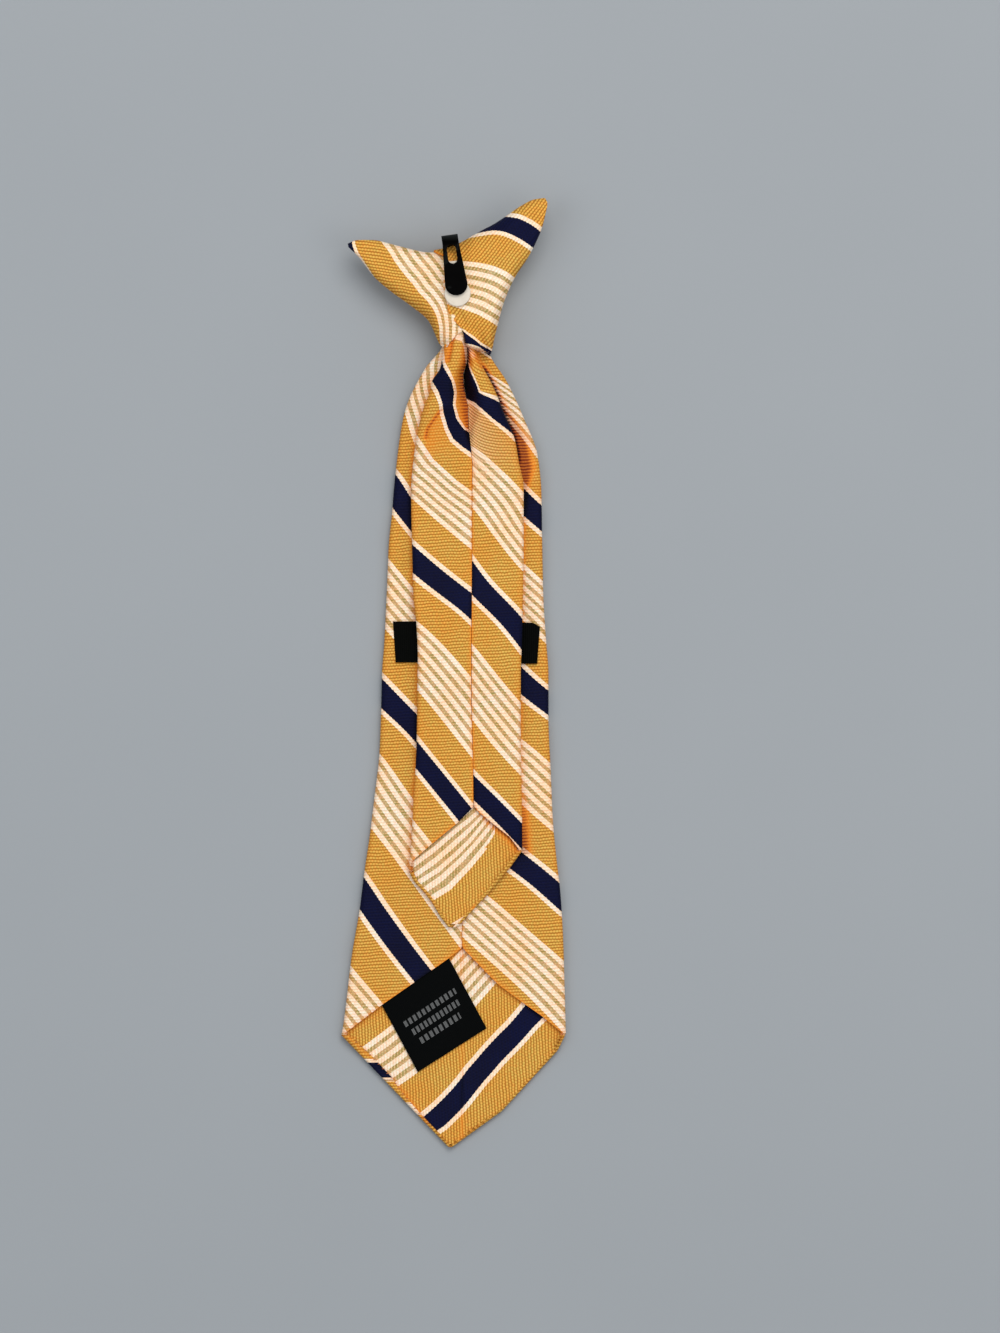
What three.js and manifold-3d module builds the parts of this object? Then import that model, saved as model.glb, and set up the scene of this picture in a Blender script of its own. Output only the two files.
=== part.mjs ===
// A child's clip-on necktie, lying on its front with its back up, in millimetres.
// +Z is up and +Y points from the blade's point to the knot. The origin is the middle of the tie's
// footprint on the surface that it lies on. Every piece is first placed from the knot's mouth,
// where the blade and the tail come out of the knot: "down" is the distance from there to the point.
import * as THREE from "three";
import { mergeVertices } from "three/addons/utils/BufferGeometryUtils.js";
import Module from "manifold-3d";

const wasm = await Module();
wasm.setup();

// Cloth and clearances
const cloth = 1; // wall of a folded cloth layer with its share of interlining
const gap = 0.3; // clearance between pieces that lie on each other
const seamGap = 0.4; // between the two flaps where they are slip-stitched together

// Front blade
const bladeWidth = 69.8; // across the two corners above the point
const bladeLength = 212.3; // from the mouth to the corners
const bladePoint = 35.2; // from the corners to the point
const bladeApex = 27; // from the corners up to where the two back flaps part
const bladeHem = 2.4; // turned edge beside the point
const bladeFacingRun = 14; // the facing runs on under the flaps this far above where they part
const slantEnd = 2.7; // the slanted flap edges end this far above the corners
const neckRise = 2.2; // height of the blade's underside at the mouth
const neckSwell = 1.6; // extra height of the gathered blade at the mouth
const frontDimple = 1.4; // depth of the pleat under the knot, on the front
const stubLength = 6; // blade and tail run on inside the knot for this long

// Tail
const tailWidth = 34.9;
const tailLength = 158.3; // from the mouth to the middle of the two corners
const tailPoint = 20.3;
const tailApex = 16.7;
const tailHem = 1.9;
const tailFacingRun = 10;
const tailFacingInset = 0.3; // extra room between the facing and the turned hem
const tailSkew = 6.5; // the left corner lies this much further down than the right one
const tailSwell = 1.5;
const tailValley = 1.3; // depth of the groove between the two flaps at the mouth
const climbNear = 1.5; // the tail lies on the keeper band for this long beyond its edges
const climbMiddle = 3.65;
const climbFar = 22; // and is back on the blade this far from them

// Knot
const wingSpan = 61.1; // from wing tip to wing tip
const knotHeight = 46.8; // from the mouth to the top of the higher wing
const knotHalf = 7.5; // half the knot's thickness at its middle
const wingLift = 5.2; // how far the wing tips curl up towards the wearer's collar
const topRound = 0.22; // share of the knot's height in which its top edge rounds over
const lowRound = 0.3; // the same for the lower edges of the wings
const mouthHalfWidth = 7.2;
const mouthHalfHeight = 5.8;
const mouthSquareness = 4; // exponent of the mouth's superellipse
const mouthDepth = 7.5;
const notchRise = 5.6; // the back of the mouth is notched upwards by this much
const creaseDepth = 0.6; // groove where the right wrap lies over the left wrap
const creaseWidth = 1.2;

// Clip on the knot's back
const stripThickness = 0.8;
const stripTopWidth = 5.2;
const stripEndWidth = 7.2;
const tongueLength = 13.8; // from the middle of the bend to the round end
const anchorLength = 8; // leg that sits in the knot
const clipTurn = THREE.MathUtils.degToRad(4.7); // the tongue points a little to the right
const clipX = -4.4; // middle of the bend across the knot
const clipUp = 30.5; // middle of the bend above the mouth
const slotWidth = 3;
const slotAbove = 3.6; // the slot's ends above and below the middle of the bend
const slotBelow = 3.8;
const padWidth = 8.4;
const padLength = 13.4;
const padBelow = 3.2; // the pad starts this far below the middle of the bend

// Keeper band and label
const bandWidth = 12.7;
const bandLength = 45.4;
const bandDown = 90.7; // middle of the band below the mouth
const ribbon = 1;
const labelSide = 24.9;
const labelHeight = 24.3;
const labelSkew = 2.1; // its lower edge lies this much further along the slant than its upper edge
const labelAlongEdge = 0.12; // share of the left flap's slanted edge above the label

// Resolution
const flapSteps = 4;
const foldSteps = 5;
const panelSteps = 8;
const ringSteps = 9;
const bendSteps = 10;

// The blade's side edges. along: share of bladeLength below the mouth. width, centre: shares of
// bladeWidth. rise: share of neckRise. swell: share of neckSwell. dimple: share of frontDimple.
const BLADE_SECTIONS = [
  { along: -0.028, width: 0.16, centre: -0.005, rise: 1, swell: 1, dimple: 0 },
  { along: 0, width: 0.17, centre: -0.004, rise: 1, swell: 1, dimple: 0.4 },
  { along: 0.008, width: 0.19, centre: -0.003, rise: 0.98, swell: 1, dimple: 0.7 },
  { along: 0.026, width: 0.32, centre: -0.009, rise: 0.9, swell: 0.95, dimple: 1 },
  { along: 0.047, width: 0.392, centre: -0.007, rise: 0.72, swell: 0.85, dimple: 1 },
  { along: 0.073, width: 0.469, centre: -0.006, rise: 0.45, swell: 0.75, dimple: 0.9 },
  { along: 0.104, width: 0.544, centre: -0.006, rise: 0.2, swell: 0.6, dimple: 0.75 },
  { along: 0.145, width: 0.609, centre: 0.007, rise: 0, swell: 0.42, dimple: 0.5 },
  { along: 0.19, width: 0.648, centre: 0.011, rise: 0, swell: 0.28, dimple: 0.3 },
  { along: 0.26, width: 0.672, centre: 0.008, rise: 0, swell: 0.1, dimple: 0.08 },
  { along: 0.36, width: 0.697, centre: 0, rise: 0, swell: 0, dimple: 0 },
  { along: 0.525, width: 0.745, centre: 0, rise: 0, swell: 0, dimple: 0 },
  { along: 0.66, width: 0.791, centre: -0.009, rise: 0, swell: 0, dimple: 0 },
  { along: 0.76, width: 0.859, centre: -0.017, rise: 0, swell: 0, dimple: 0 },
  { along: 0.874, width: 0.932, centre: -0.031, rise: 0, swell: 0, dimple: 0 },
  { along: 1, width: 1, centre: -0.049, rise: 0, swell: 0, dimple: 0 },
];
const bladePointCentre = -0.062; // share of bladeWidth
const bladeSeam = -0.017; // share of bladeWidth

// The tail's side edges, with shares of tailLength and tailWidth. valley: share of tailValley.
const TAIL_SECTIONS = [
  { along: -0.038, width: 0.235, centre: -0.04, swell: 1, valley: 0.2 },
  { along: 0, width: 0.26, centre: -0.045, swell: 1, valley: 0.7 },
  { along: 0.025, width: 0.33, centre: -0.045, swell: 1, valley: 1 },
  { along: 0.045, width: 0.42, centre: -0.04, swell: 0.95, valley: 1 },
  { along: 0.07, width: 0.545, centre: -0.04, swell: 0.9, valley: 1 },
  { along: 0.104, width: 0.68, centre: -0.027, swell: 0.85, valley: 0.9 },
  { along: 0.157, width: 0.835, centre: -0.007, swell: 0.7, valley: 0.5 },
  { along: 0.21, width: 0.93, centre: 0, swell: 0.45, valley: 0.2 },
  { along: 0.27, width: 0.985, centre: 0.011, swell: 0.2, valley: 0.05 },
  { along: 0.38, width: 0.995, centre: 0.026, swell: 0, valley: 0 },
  { along: 0.55, width: 0.935, centre: 0.039, swell: 0, valley: 0 },
  { along: 0.76, width: 0.93, centre: 0.035, swell: 0, valley: 0 },
  { along: 0.9, width: 0.975, centre: 0.022, swell: 0, valley: 0 },
  { along: 1.02, width: 1.02, centre: 0.006, swell: 0, valley: 0 },
];
const tailPointCentre = -0.075;
const tailSeam = 0.063;

// The knot from the left wing tip to the right one. Its top edge and lower edge in shares of
// wingSpan (x) and knotHeight (y) from the mouth, how far it is lifted (share of wingLift), how
// thick it is (share of knotHalf) and how open its lower end is (the mouth is 1).
const KNOT_SECTIONS = [
  { topX: -0.588, topY: 0.694, lowX: -0.583, lowY: 0.672, lift: 1, half: 0.1, open: 0 },
  { topX: -0.548, topY: 0.72, lowX: -0.543, lowY: 0.609, lift: 0.86, half: 0.22, open: 0 },
  { topX: -0.472, topY: 0.722, lowX: -0.472, lowY: 0.487, lift: 0.62, half: 0.4, open: 0 },
  { topX: -0.371, topY: 0.695, lowX: -0.376, lowY: 0.374, lift: 0.36, half: 0.6, open: 0 },
  { topX: -0.269, topY: 0.669, lowX: -0.284, lowY: 0.281, lift: 0.14, half: 0.78, open: 0 },
  { topX: -0.185, topY: 0.657, lowX: -0.2, lowY: 0.185, lift: 0.03, half: 0.92, open: 0 },
  { topX: -0.128, topY: 0.664, lowX: -0.134, lowY: 0.018, lift: 0, half: 0.97, open: 0.25 },
  { topX: -0.075, topY: 0.684, lowX: -0.085, lowY: -0.012, lift: 0, half: 1, open: 0.86 },
  { topX: -0.02, topY: 0.715, lowX: -0.012, lowY: -0.02, lift: 0, half: 1, open: 0.9 },
  { topX: 0.035, topY: 0.757, lowX: 0.062, lowY: -0.027, lift: 0, half: 1, open: 0.86 },
  { topX: 0.08, topY: 0.79, lowX: 0.122, lowY: -0.02, lift: 0, half: 0.98, open: 0.25 },
  { topX: 0.132, topY: 0.828, lowX: 0.152, lowY: 0.13, lift: 0.03, half: 0.92, open: 0 },
  { topX: 0.198, topY: 0.881, lowX: 0.183, lowY: 0.28, lift: 0.12, half: 0.8, open: 0 },
  { topX: 0.274, topY: 0.947, lowX: 0.244, lowY: 0.464, lift: 0.32, half: 0.62, open: 0 },
  { topX: 0.345, topY: 0.99, lowX: 0.32, lowY: 0.62, lift: 0.58, half: 0.42, open: 0 },
  { topX: 0.395, topY: 0.998, lowX: 0.384, lowY: 0.8, lift: 0.84, half: 0.22, open: 0 },
  { topX: 0.412, topY: 0.97, lowX: 0.412, lowY: 0.945, lift: 1, half: 0.1, open: 0 },
];

const { clamp, lerp, smoothstep } = THREE.MathUtils;

// A table's columns as smooth curves over its first column.
function tableCurves(rows, over) {
  const at = rows.map((row) => row[over]);
  const names = Object.keys(rows[0]).filter((name) => name !== over);
  const curves = new Map(
    names.map((name) => [name, new THREE.CubicInterpolant(at, rows.map((row) => row[name]), 1)]),
  );
  return (name, where) => curves.get(name).evaluate(clamp(where, at[0], at.at(-1)))[0];
}

// Triangles from lists of corner points and faces, three corner numbers each.
function meshOf(points, faces) {
  const geometry = new THREE.BufferGeometry().setFromPoints(points);
  geometry.setIndex(faces);
  geometry.computeVertexNormals();
  return geometry;
}

// The two triangles of a quad, corners in order round its outside.
function quad(faces, a, b, c, d) {
  faces.push(a, b, c, a, c, d);
}

// A layer of cloth: rows of points on its outer face and the same rows on its inner face.
function layerSolid(outer, inner) {
  const rows = outer.length;
  const columns = outer[0].length;
  const points = [...outer.flat(), ...inner.flat()];
  const out = (row, column) => row * columns + column;
  const into = (row, column) => rows * columns + out(row, column);
  const faces = [];
  for (let row = 0; row < rows - 1; row++) {
    for (let column = 0; column < columns - 1; column++) {
      quad(faces, out(row, column), out(row + 1, column), out(row + 1, column + 1), out(row, column + 1));
      quad(faces, into(row, column), into(row, column + 1), into(row + 1, column + 1), into(row + 1, column));
    }
    quad(faces, out(row, 0), into(row, 0), into(row + 1, 0), out(row + 1, 0));
    const last = columns - 1;
    quad(faces, out(row, last), out(row + 1, last), into(row + 1, last), into(row, last));
  }
  for (let column = 0; column < columns - 1; column++) {
    quad(faces, out(0, column), out(0, column + 1), into(0, column + 1), into(0, column));
    const last = rows - 1;
    quad(faces, out(last, column), into(last, column), into(last, column + 1), out(last, column + 1));
  }
  return meshOf(points, faces);
}

// A solid skinned over closed rings of points, with a flat fan on its first and last ring.
function ringSolid(rings) {
  const count = rings[0].length;
  const points = rings.flat();
  const faces = [];
  for (let ring = 0; ring < rings.length - 1; ring++) {
    for (let i = 0; i < count; i++) {
      const next = (i + 1) % count;
      quad(faces, ring * count + i, ring * count + next, (ring + 1) * count + next, (ring + 1) * count + i);
    }
  }
  const last = (rings.length - 1) * count;
  for (let i = 1; i < count - 1; i++) faces.push(0, i + 1, i, last, last + i, last + i + 1);
  return meshOf(points, faces);
}

// manifold-3d joins and cuts closed meshes.
function solidOf(geometry) {
  const bare = new THREE.BufferGeometry().setAttribute("position", geometry.getAttribute("position"));
  if (geometry.index) bare.setIndex(geometry.index);
  const merged = mergeVertices(bare, 1e-4);
  return new wasm.Manifold(
    new wasm.Mesh({
      numProp: 3,
      vertProperties: merged.attributes.position.array,
      triVerts: new Uint32Array(merged.index.array),
    }),
  );
}

function geometryOf(solid) {
  const { vertProperties, triVerts, numProp } = solid.getMesh();
  const points = [];
  for (let i = 0; i < vertProperties.length; i += numProp) {
    points.push(new THREE.Vector3(...vertProperties.subarray(i, i + 3)));
  }
  return meshOf(points, Array.from(triVerts));
}

// The outline of a folded panel. Its left and right edges follow the table down to their corners
// and then run straight to the point.
function panelOutline({ at, width, length, skew, point, pointCentre, pointWidth }) {
  const tip = length + point;
  const edge = (side, down) => {
    const corner = length - (side * skew) / 2;
    const along = Math.min(down, corner) / length;
    const onSide = width * (at("centre", along) + (side * at("width", along)) / 2);
    const onTip = width * pointCentre + (side * pointWidth) / 2;
    return lerp(onSide, onTip, Math.max(0, (down - corner) / (tip - corner)));
  };
  return { left: (down) => edge(-1, down), right: (down) => edge(1, down), tip };
}

// Where the inner edge of a back flap lies: at the seam, then on a slant to the corner, then at
// the width of the turned hem.
function flapEnd(panel, side, down) {
  const corner = panel.length - (side * panel.skew) / 2;
  const apex = panel.length - panel.apex;
  const edge = side < 0 ? panel.outline.left(down) : panel.outline.right(down);
  const opposite = side < 0 ? panel.outline.right(down) : panel.outline.left(down);
  const hem = Math.min(panel.hem, Math.abs(opposite - edge) * 0.42);
  const seam = panel.width * panel.seam + (side * seamGap) / 2;
  const slant = clamp((down - apex) / (corner - slantEnd - apex), 0, 1);
  return lerp(seam, edge - side * hem, slant);
}

// One cross-section of a folded panel, listed from the right flap's seam edge round the front to
// the left flap's seam edge: right flap, right fold, front, left fold, left flap.
// shape(part, share) gives the extra height of the flaps and the front.
function foldedSection({ left, right, leftEnd, rightEnd, bottom, height, shape }) {
  const section = (inset) => {
    const radius = height / 2 - inset;
    const foldLeft = left + height / 2;
    const foldRight = right - height / 2;
    const middle = bottom + height / 2;
    const points = [];
    const flap = (from, to, side, skipFirst) => {
      for (let i = skipFirst ? 1 : 0; i <= flapSteps; i++) {
        const share = i / flapSteps;
        const fromFold = side < 0 ? 1 - share : share;
        points.push([lerp(from, to, share), middle + radius + shape("flap", fromFold)]);
      }
    };
    const fold = (x, start) => {
      for (let i = 1; i <= foldSteps; i++) {
        const angle = start + (Math.PI * i) / foldSteps;
        points.push([x + radius * Math.cos(angle), middle + radius * Math.sin(angle)]);
      }
    };
    flap(leftEnd, foldLeft, -1, false);
    fold(foldLeft, Math.PI / 2);
    for (let i = 1; i <= panelSteps; i++) {
      const share = i / panelSteps;
      const fromMiddle = 2 * share - 1;
      points.push([lerp(foldLeft, foldRight, share), middle - radius + shape("front", fromMiddle)]);
    }
    fold(foldRight, -Math.PI / 2);
    flap(foldRight, rightEnd, 1, true);
    return points.reverse();
  };
  return { outer: section(0), inner: section(cloth) };
}

// A folded panel as one solid: the cloth goes round from seam to seam and is open at both ends.
function foldedPanel(panel, stations) {
  const outer = [];
  const inner = [];
  for (const down of stations) {
    const section = foldedSection({
      left: panel.outline.left(down),
      right: panel.outline.right(down),
      leftEnd: flapEnd(panel, -1, down),
      rightEnd: flapEnd(panel, 1, down),
      bottom: panel.bottom(down),
      height: panel.height(down),
      shape: (part, share) => panel.shape(part, share, down),
    });
    outer.push(section.outer.map(([x, z]) => new THREE.Vector3(x, -down, z)));
    inner.push(section.inner.map(([x, z]) => new THREE.Vector3(x, -down, z)));
  }
  return layerSolid(outer, inner);
}

// A flat layer between two edges that are functions of the distance down.
function flatLayer(stations, left, right, bottom, thickness) {
  const upper = [];
  const lower = [];
  for (const down of stations) {
    const across = [0, 1].map((share) => lerp(left(down), right(down), share));
    upper.push(across.map((x) => new THREE.Vector3(x, -down, bottom(down) + thickness)));
    lower.push(across.map((x) => new THREE.Vector3(x, -down, bottom(down))));
  }
  return layerSolid(upper, lower);
}

// A rounded fall from 1 at the middle to 0 at the ends of a share from -1 to 1.
const hump = (share) => (Math.abs(share) < 1 ? 0.5 + 0.5 * Math.cos(Math.PI * share) : 0);

// Front blade
const bladeAt = tableCurves(BLADE_SECTIONS, "along");
const flatStack = 3 * cloth + 2 * gap; // front, facing and flap with their clearances
const pointStack = 2 * cloth + 2 * gap; // front and turned hem
const blade = {
  width: bladeWidth,
  length: bladeLength,
  skew: 0,
  apex: bladeApex,
  hem: bladeHem,
  seam: bladeSeam,
  outline: panelOutline({
    at: bladeAt,
    width: bladeWidth,
    length: bladeLength,
    skew: 0,
    point: bladePoint,
    pointCentre: bladePointCentre,
    pointWidth: 2.4 * bladeHem,
  }),
  bottom: (down) => neckRise * Math.max(0, bladeAt("rise", down / bladeLength)),
  height: (down) => {
    const past = smoothstep(down, bladeLength, bladeLength + bladePoint / 4);
    return lerp(flatStack, pointStack, past) + neckSwell * bladeAt("swell", down / bladeLength);
  },
  // A pleat under the knot, pressed in from the front.
  shape: (part, share, down) => {
    const dimple = frontDimple * Math.max(0, bladeAt("dimple", down / bladeLength));
    return part === "front" ? dimple * hump(share / 0.6) : 0;
  },
};
const bladeTop = (down) => blade.bottom(down) + blade.height(down);

function bladeStations() {
  const onTable = BLADE_SECTIONS.map((row) => row.along * bladeLength);
  const between = [0.225, 0.31, 0.44, 0.6].map((share) => share * bladeLength);
  const onPoint = [0.06, 0.5, 1].map((share) => bladeLength + share * bladePoint);
  const slantStation = bladeLength - slantEnd;
  const apex = bladeLength - bladeApex;
  const body = onTable.filter((down) => Math.abs(down - apex) > 1 && down > -1);
  return [-stubLength, ...body, ...between, apex, slantStation, ...onPoint].sort((a, b) => a - b);
}

// The facing inside the point: it shows between the parted flaps and runs on under them.
function bladeFacing() {
  const top = bladeLength - bladeApex - bladeFacingRun;
  const edge = (side, down) => {
    const outlineEdge = side < 0 ? blade.outline.left(down) : blade.outline.right(down);
    return outlineEdge - side * (bladeHem + gap);
  };
  const bottomEnd = blade.outline.tip - 1.6 * bladeHem;
  const stations = [0, 0.4, 0.62, 0.72, 1].map((share) => lerp(top, bottomEnd, share));
  return flatLayer(stations, (d) => edge(-1, d), (d) => edge(1, d), () => cloth + gap, cloth);
}

// Tail
const tailAt = tableCurves(TAIL_SECTIONS, "along");
const bandBase = bladeTop(bandDown) + gap;
const tail = {
  width: tailWidth,
  length: tailLength,
  skew: tailSkew,
  apex: tailApex,
  hem: tailHem,
  seam: tailSeam,
  outline: panelOutline({
    at: tailAt,
    width: tailWidth,
    length: tailLength,
    skew: tailSkew,
    point: tailPoint,
    pointCentre: tailPointCentre,
    pointWidth: 2.6 * tailHem,
  }),
  // It lies on the blade and climbs over the keeper band.
  bottom: (down) => {
    const fromBand = Math.abs(down - bandDown) - bandWidth / 2;
    const climb = 1 - smoothstep(fromBand, climbNear, climbFar);
    return bladeTop(down) + gap + (ribbon + gap) * climb;
  },
  height: (down) => {
    const past = smoothstep(down, tailLength + tailSkew / 2, tailLength + tailPoint / 2);
    return lerp(flatStack, pointStack, past) + tailSwell * tailAt("swell", down / tailLength);
  },
  // Near the mouth the flaps roll down into a groove along the seam.
  shape: (part, share, down) =>
    part === "flap" ? -tailValley * tailAt("valley", down / tailLength) * share ** 3 : 0,
};

function tailStations() {
  const onTable = TAIL_SECTIONS.map((row) => row.along * tailLength).filter((down) => down > -1);
  const corners = [tailLength - tailSkew / 2, tailLength + tailSkew / 2];
  const slants = corners.map((corner) => corner - slantEnd);
  const offBand = [climbMiddle, climbFar].map((off) => bandWidth / 2 + off);
  const nearBand = offBand.flatMap((off) => [bandDown - off, bandDown + off]);
  const onPoint = [0.55, 1].map((share) => tailLength + share * tailPoint);
  const apex = tailLength - tailApex;
  const body = onTable.filter((down) => down < apex - 1 && nearBand.every((n) => Math.abs(n - down) > 3));
  return [-stubLength, ...body, ...nearBand, apex, ...slants, ...corners, ...onPoint].sort((a, b) => a - b);
}

function tailFacing() {
  const top = tailLength - tailApex - tailFacingRun;
  const edge = (side, down) => {
    const outlineEdge = side < 0 ? tail.outline.left(down) : tail.outline.right(down);
    return outlineEdge - side * (tailHem + gap + tailFacingInset);
  };
  const bottomEnd = tail.outline.tip - 1.7 * tailHem;
  const stations = [0, 0.25, 0.5, 0.64, 0.78, 1].map((share) => lerp(top, bottomEnd, share));
  const base = (down) => tail.bottom(down) + cloth + gap;
  return flatLayer(stations, (d) => edge(-1, d), (d) => edge(1, d), base, cloth);
}

// Keeper band: a ribbon across the blade's back, under the tail.
function keeperBand() {
  const middle = (blade.outline.left(bandDown) + blade.outline.right(bandDown)) / 2;
  const box = new THREE.BoxGeometry(bandLength, bandWidth, ribbon);
  return box.translate(middle, -bandDown, bandBase + ribbon / 2);
}

// Care label: its upper edge lies against the slanted edge of the blade's left flap.
function careLabel() {
  const apexDown = bladeLength - bladeApex;
  const apex = new THREE.Vector2(flapEnd(blade, -1, apexDown), -apexDown);
  const slantDown = bladeLength - slantEnd;
  const corner = new THREE.Vector2(flapEnd(blade, -1, slantDown), -slantDown);
  const alongEdge = corner.clone().sub(apex);
  const angle = Math.atan2(-alongEdge.y, -alongEdge.x);
  const start = apex.clone().addScaledVector(alongEdge, labelAlongEdge);
  const shape = new THREE.Shape();
  shape.moveTo(0, 0);
  shape.lineTo(-labelSide, 0);
  shape.lineTo(-labelSide - labelSkew, -labelHeight);
  shape.lineTo(-labelSkew, -labelHeight);
  shape.closePath();
  const plate = new THREE.ExtrudeGeometry(shape, { depth: ribbon, bevelEnabled: false });
  const below = 2 * gap; // clear of the flap's edge
  return plate
    .translate(0, -below, 0)
    .rotateZ(angle)
    .translate(start.x, start.y, 2 * cloth + 2 * gap);
}

// Knot
const knotAt = tableCurves(
  KNOT_SECTIONS.map((row, i) => ({ share: i / (KNOT_SECTIONS.length - 1), ...row })),
  "share",
);
const quarterRound = (share) => Math.sqrt(1 - (1 - clamp(share, 0, 1)) ** 2);
const mouthX = (wingSpan * (KNOT_SECTIONS[6].lowX + KNOT_SECTIONS[10].lowX)) / 2;

// The knot's ring at a share of the way from wing to wing: down the back, then up the front.
function knotRing(share) {
  const half = knotHalf * Math.min(1, knotAt("half", share));
  const middle = knotHalf + wingLift * Math.max(0, knotAt("lift", share));
  const open = clamp(knotAt("open", share), 0, 1);
  const top = new THREE.Vector2(wingSpan * knotAt("topX", share), knotHeight * knotAt("topY", share));
  const low = new THREE.Vector2(wingSpan * knotAt("lowX", share), knotHeight * knotAt("lowY", share));
  const notch = notchRise * hump((low.x - mouthX) / mouthHalfWidth);
  const face = (side, v) => {
    const end = low.clone();
    if (side > 0) end.y += notch;
    const at = top.clone().lerp(end, v);
    const closed = quarterRound(v / topRound) * quarterRound((1 - v) / lowRound);
    const opened = quarterRound(v / topRound) * open;
    const thick = half * Math.max(closed, opened);
    return new THREE.Vector3(at.x, at.y, middle + side * thick);
  };
  const stops = Array.from({ length: ringSteps }, (_, i) => (1 - Math.cos((Math.PI * i) / (ringSteps - 1))) / 2);
  const back = stops.map((v) => face(1, v));
  const front = stops.map((v) => face(-1, v)).reverse();
  if (open < 0.02) front.shift();
  else front[0].z -= 0.001;
  front.pop();
  if (open < 0.02) front.unshift(front[0].clone().lerp(back.at(-1), 0.5));
  return [...back, ...front];
}

function superellipse(halfWidth, halfHeight, power, steps) {
  const shape = new THREE.Shape();
  const corner = (value) => Math.sign(value) * Math.abs(value) ** (2 / power);
  for (let i = 0; i < steps; i++) {
    const angle = (2 * Math.PI * i) / steps;
    const x = halfWidth * corner(Math.cos(angle));
    const y = halfHeight * corner(Math.sin(angle));
    if (i) shape.lineTo(x, y);
    else shape.moveTo(x, y);
  }
  shape.closePath();
  return shape;
}

// The opening that the blade and the tail come out of.
function mouthCutter() {
  const outline = superellipse(mouthHalfWidth, mouthHalfHeight, mouthSquareness, 24);
  const cutter = new THREE.ExtrudeGeometry(outline, { depth: 2 * mouthDepth, bevelEnabled: false });
  return cutter.rotateX(Math.PI / 2).translate(mouthX, mouthDepth, knotHalf);
}

// The groove on the knot's back along the edge of the right wrap.
function creaseCutter() {
  const from = new THREE.Vector3(-0.108 * wingSpan, 0.4 * knotHeight, 2 * knotHalf);
  const to = new THREE.Vector3(-0.02 * wingSpan, 0.115 * knotHeight, 2 * knotHalf);
  const run = from.distanceTo(to);
  const wedge = new THREE.Shape();
  wedge.moveTo(-creaseWidth / 2, 0.2);
  wedge.lineTo(0, -creaseDepth);
  wedge.lineTo(creaseWidth / 2, 0.2);
  wedge.closePath();
  const cutter = new THREE.ExtrudeGeometry(wedge, { depth: run, bevelEnabled: false });
  const turn = Math.atan2(to.x - from.x, from.y - to.y);
  return cutter.rotateX(Math.PI / 2).rotateZ(turn).translate(from.x, from.y, from.z);
}

// The clip's strip in its own frame: x across, y up the knot from the bend's centre, z up.
const tongueUnder = 2 * knotHalf + gap + cloth + gap; // underside of the tongue
const bendOuter = (tongueUnder + stripThickness - (knotHalf - stripThickness / 2)) / 2;
const bendZ = tongueUnder + stripThickness - bendOuter;

function clipPlace(geometry) {
  return geometry.rotateZ(clipTurn).translate(clipX, clipUp, 0);
}

function clipStrip() {
  const endRadius = stripEndWidth / 2;
  const straight = tongueLength - endRadius;
  const stations = [];
  for (let i = 0; i <= 6; i++) {
    const angle = (Math.PI / 2) * (1 - i / 6);
    const reach = Math.max(Math.cos(angle), 0.12);
    stations.push({ y: -straight - endRadius * Math.sin(angle), turn: 0, half: endRadius * reach });
  }
  for (let i = 0; i <= bendSteps; i++) {
    stations.push({ y: 0, turn: (Math.PI * i) / bendSteps, half: stripTopWidth / 2 });
  }
  stations.push({ y: -anchorLength, turn: Math.PI, half: stripTopWidth / 2 });
  const side = (radius) =>
    stations.map(({ y, turn, half }) => {
      const atY = y + radius * Math.sin(turn);
      const atZ = bendZ + radius * Math.cos(turn);
      return [new THREE.Vector3(-half, atY, atZ), new THREE.Vector3(half, atY, atZ)];
    });
  return layerSolid(side(bendOuter - stripThickness), side(bendOuter));
}

function clipSlot() {
  const radius = slotWidth / 2;
  const shape = new THREE.Shape();
  const low = radius - slotBelow;
  const high = slotAbove - radius;
  shape.moveTo(-radius, low);
  shape.absarc(0, low, radius, Math.PI, 2 * Math.PI, false);
  shape.lineTo(radius, high);
  shape.absarc(0, high, radius, 0, Math.PI, false);
  const depth = 2 * bendOuter;
  const cutter = new THREE.ExtrudeGeometry(shape, { depth, bevelEnabled: false, curveSegments: 6 });
  return cutter.translate(0, 0, bendZ);
}

function collarClip() {
  const strip = solidOf(clipStrip()).subtract(solidOf(clipSlot()));
  return clipPlace(geometryOf(strip));
}

// The pocket in the knot that holds the clip's anchor leg.
function anchorCutter() {
  const width = stripTopWidth + 2 * gap;
  const height = 2 * stripThickness + 2 * gap; // the strip starts to bend inside it
  const depth = anchorLength + bendOuter + gap;
  const cutter = new THREE.BoxGeometry(width, depth, height);
  return clipPlace(cutter.translate(0, depth / 2 - anchorLength - gap, bendZ - bendOuter - gap + height / 2));
}

// The pale pad between the tongue and the knot's back.
function clipPad() {
  const radius = padWidth / 2;
  const straight = padLength - radius;
  const shape = new THREE.Shape();
  shape.moveTo(-radius, 0);
  shape.lineTo(-radius, -straight);
  shape.absarc(0, -straight, radius, Math.PI, 2 * Math.PI, false);
  shape.lineTo(radius, 0);
  shape.closePath();
  const pad = new THREE.ExtrudeGeometry(shape, { depth: cloth, bevelEnabled: false, curveSegments: 8 });
  return clipPlace(pad.translate(0, -padBelow, 2 * knotHalf + gap));
}

function knotWrap() {
  const rows = 2 * (KNOT_SECTIONS.length - 1);
  const rings = Array.from({ length: rows + 1 }, (_, i) => knotRing(i / rows));
  const knot = solidOf(ringSolid(rings));
  const cut = [mouthCutter(), creaseCutter(), anchorCutter()].reduce(
    (solid, cutter) => solid.subtract(solidOf(cutter)),
    knot,
  );
  return geometryOf(cut);
}

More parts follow.
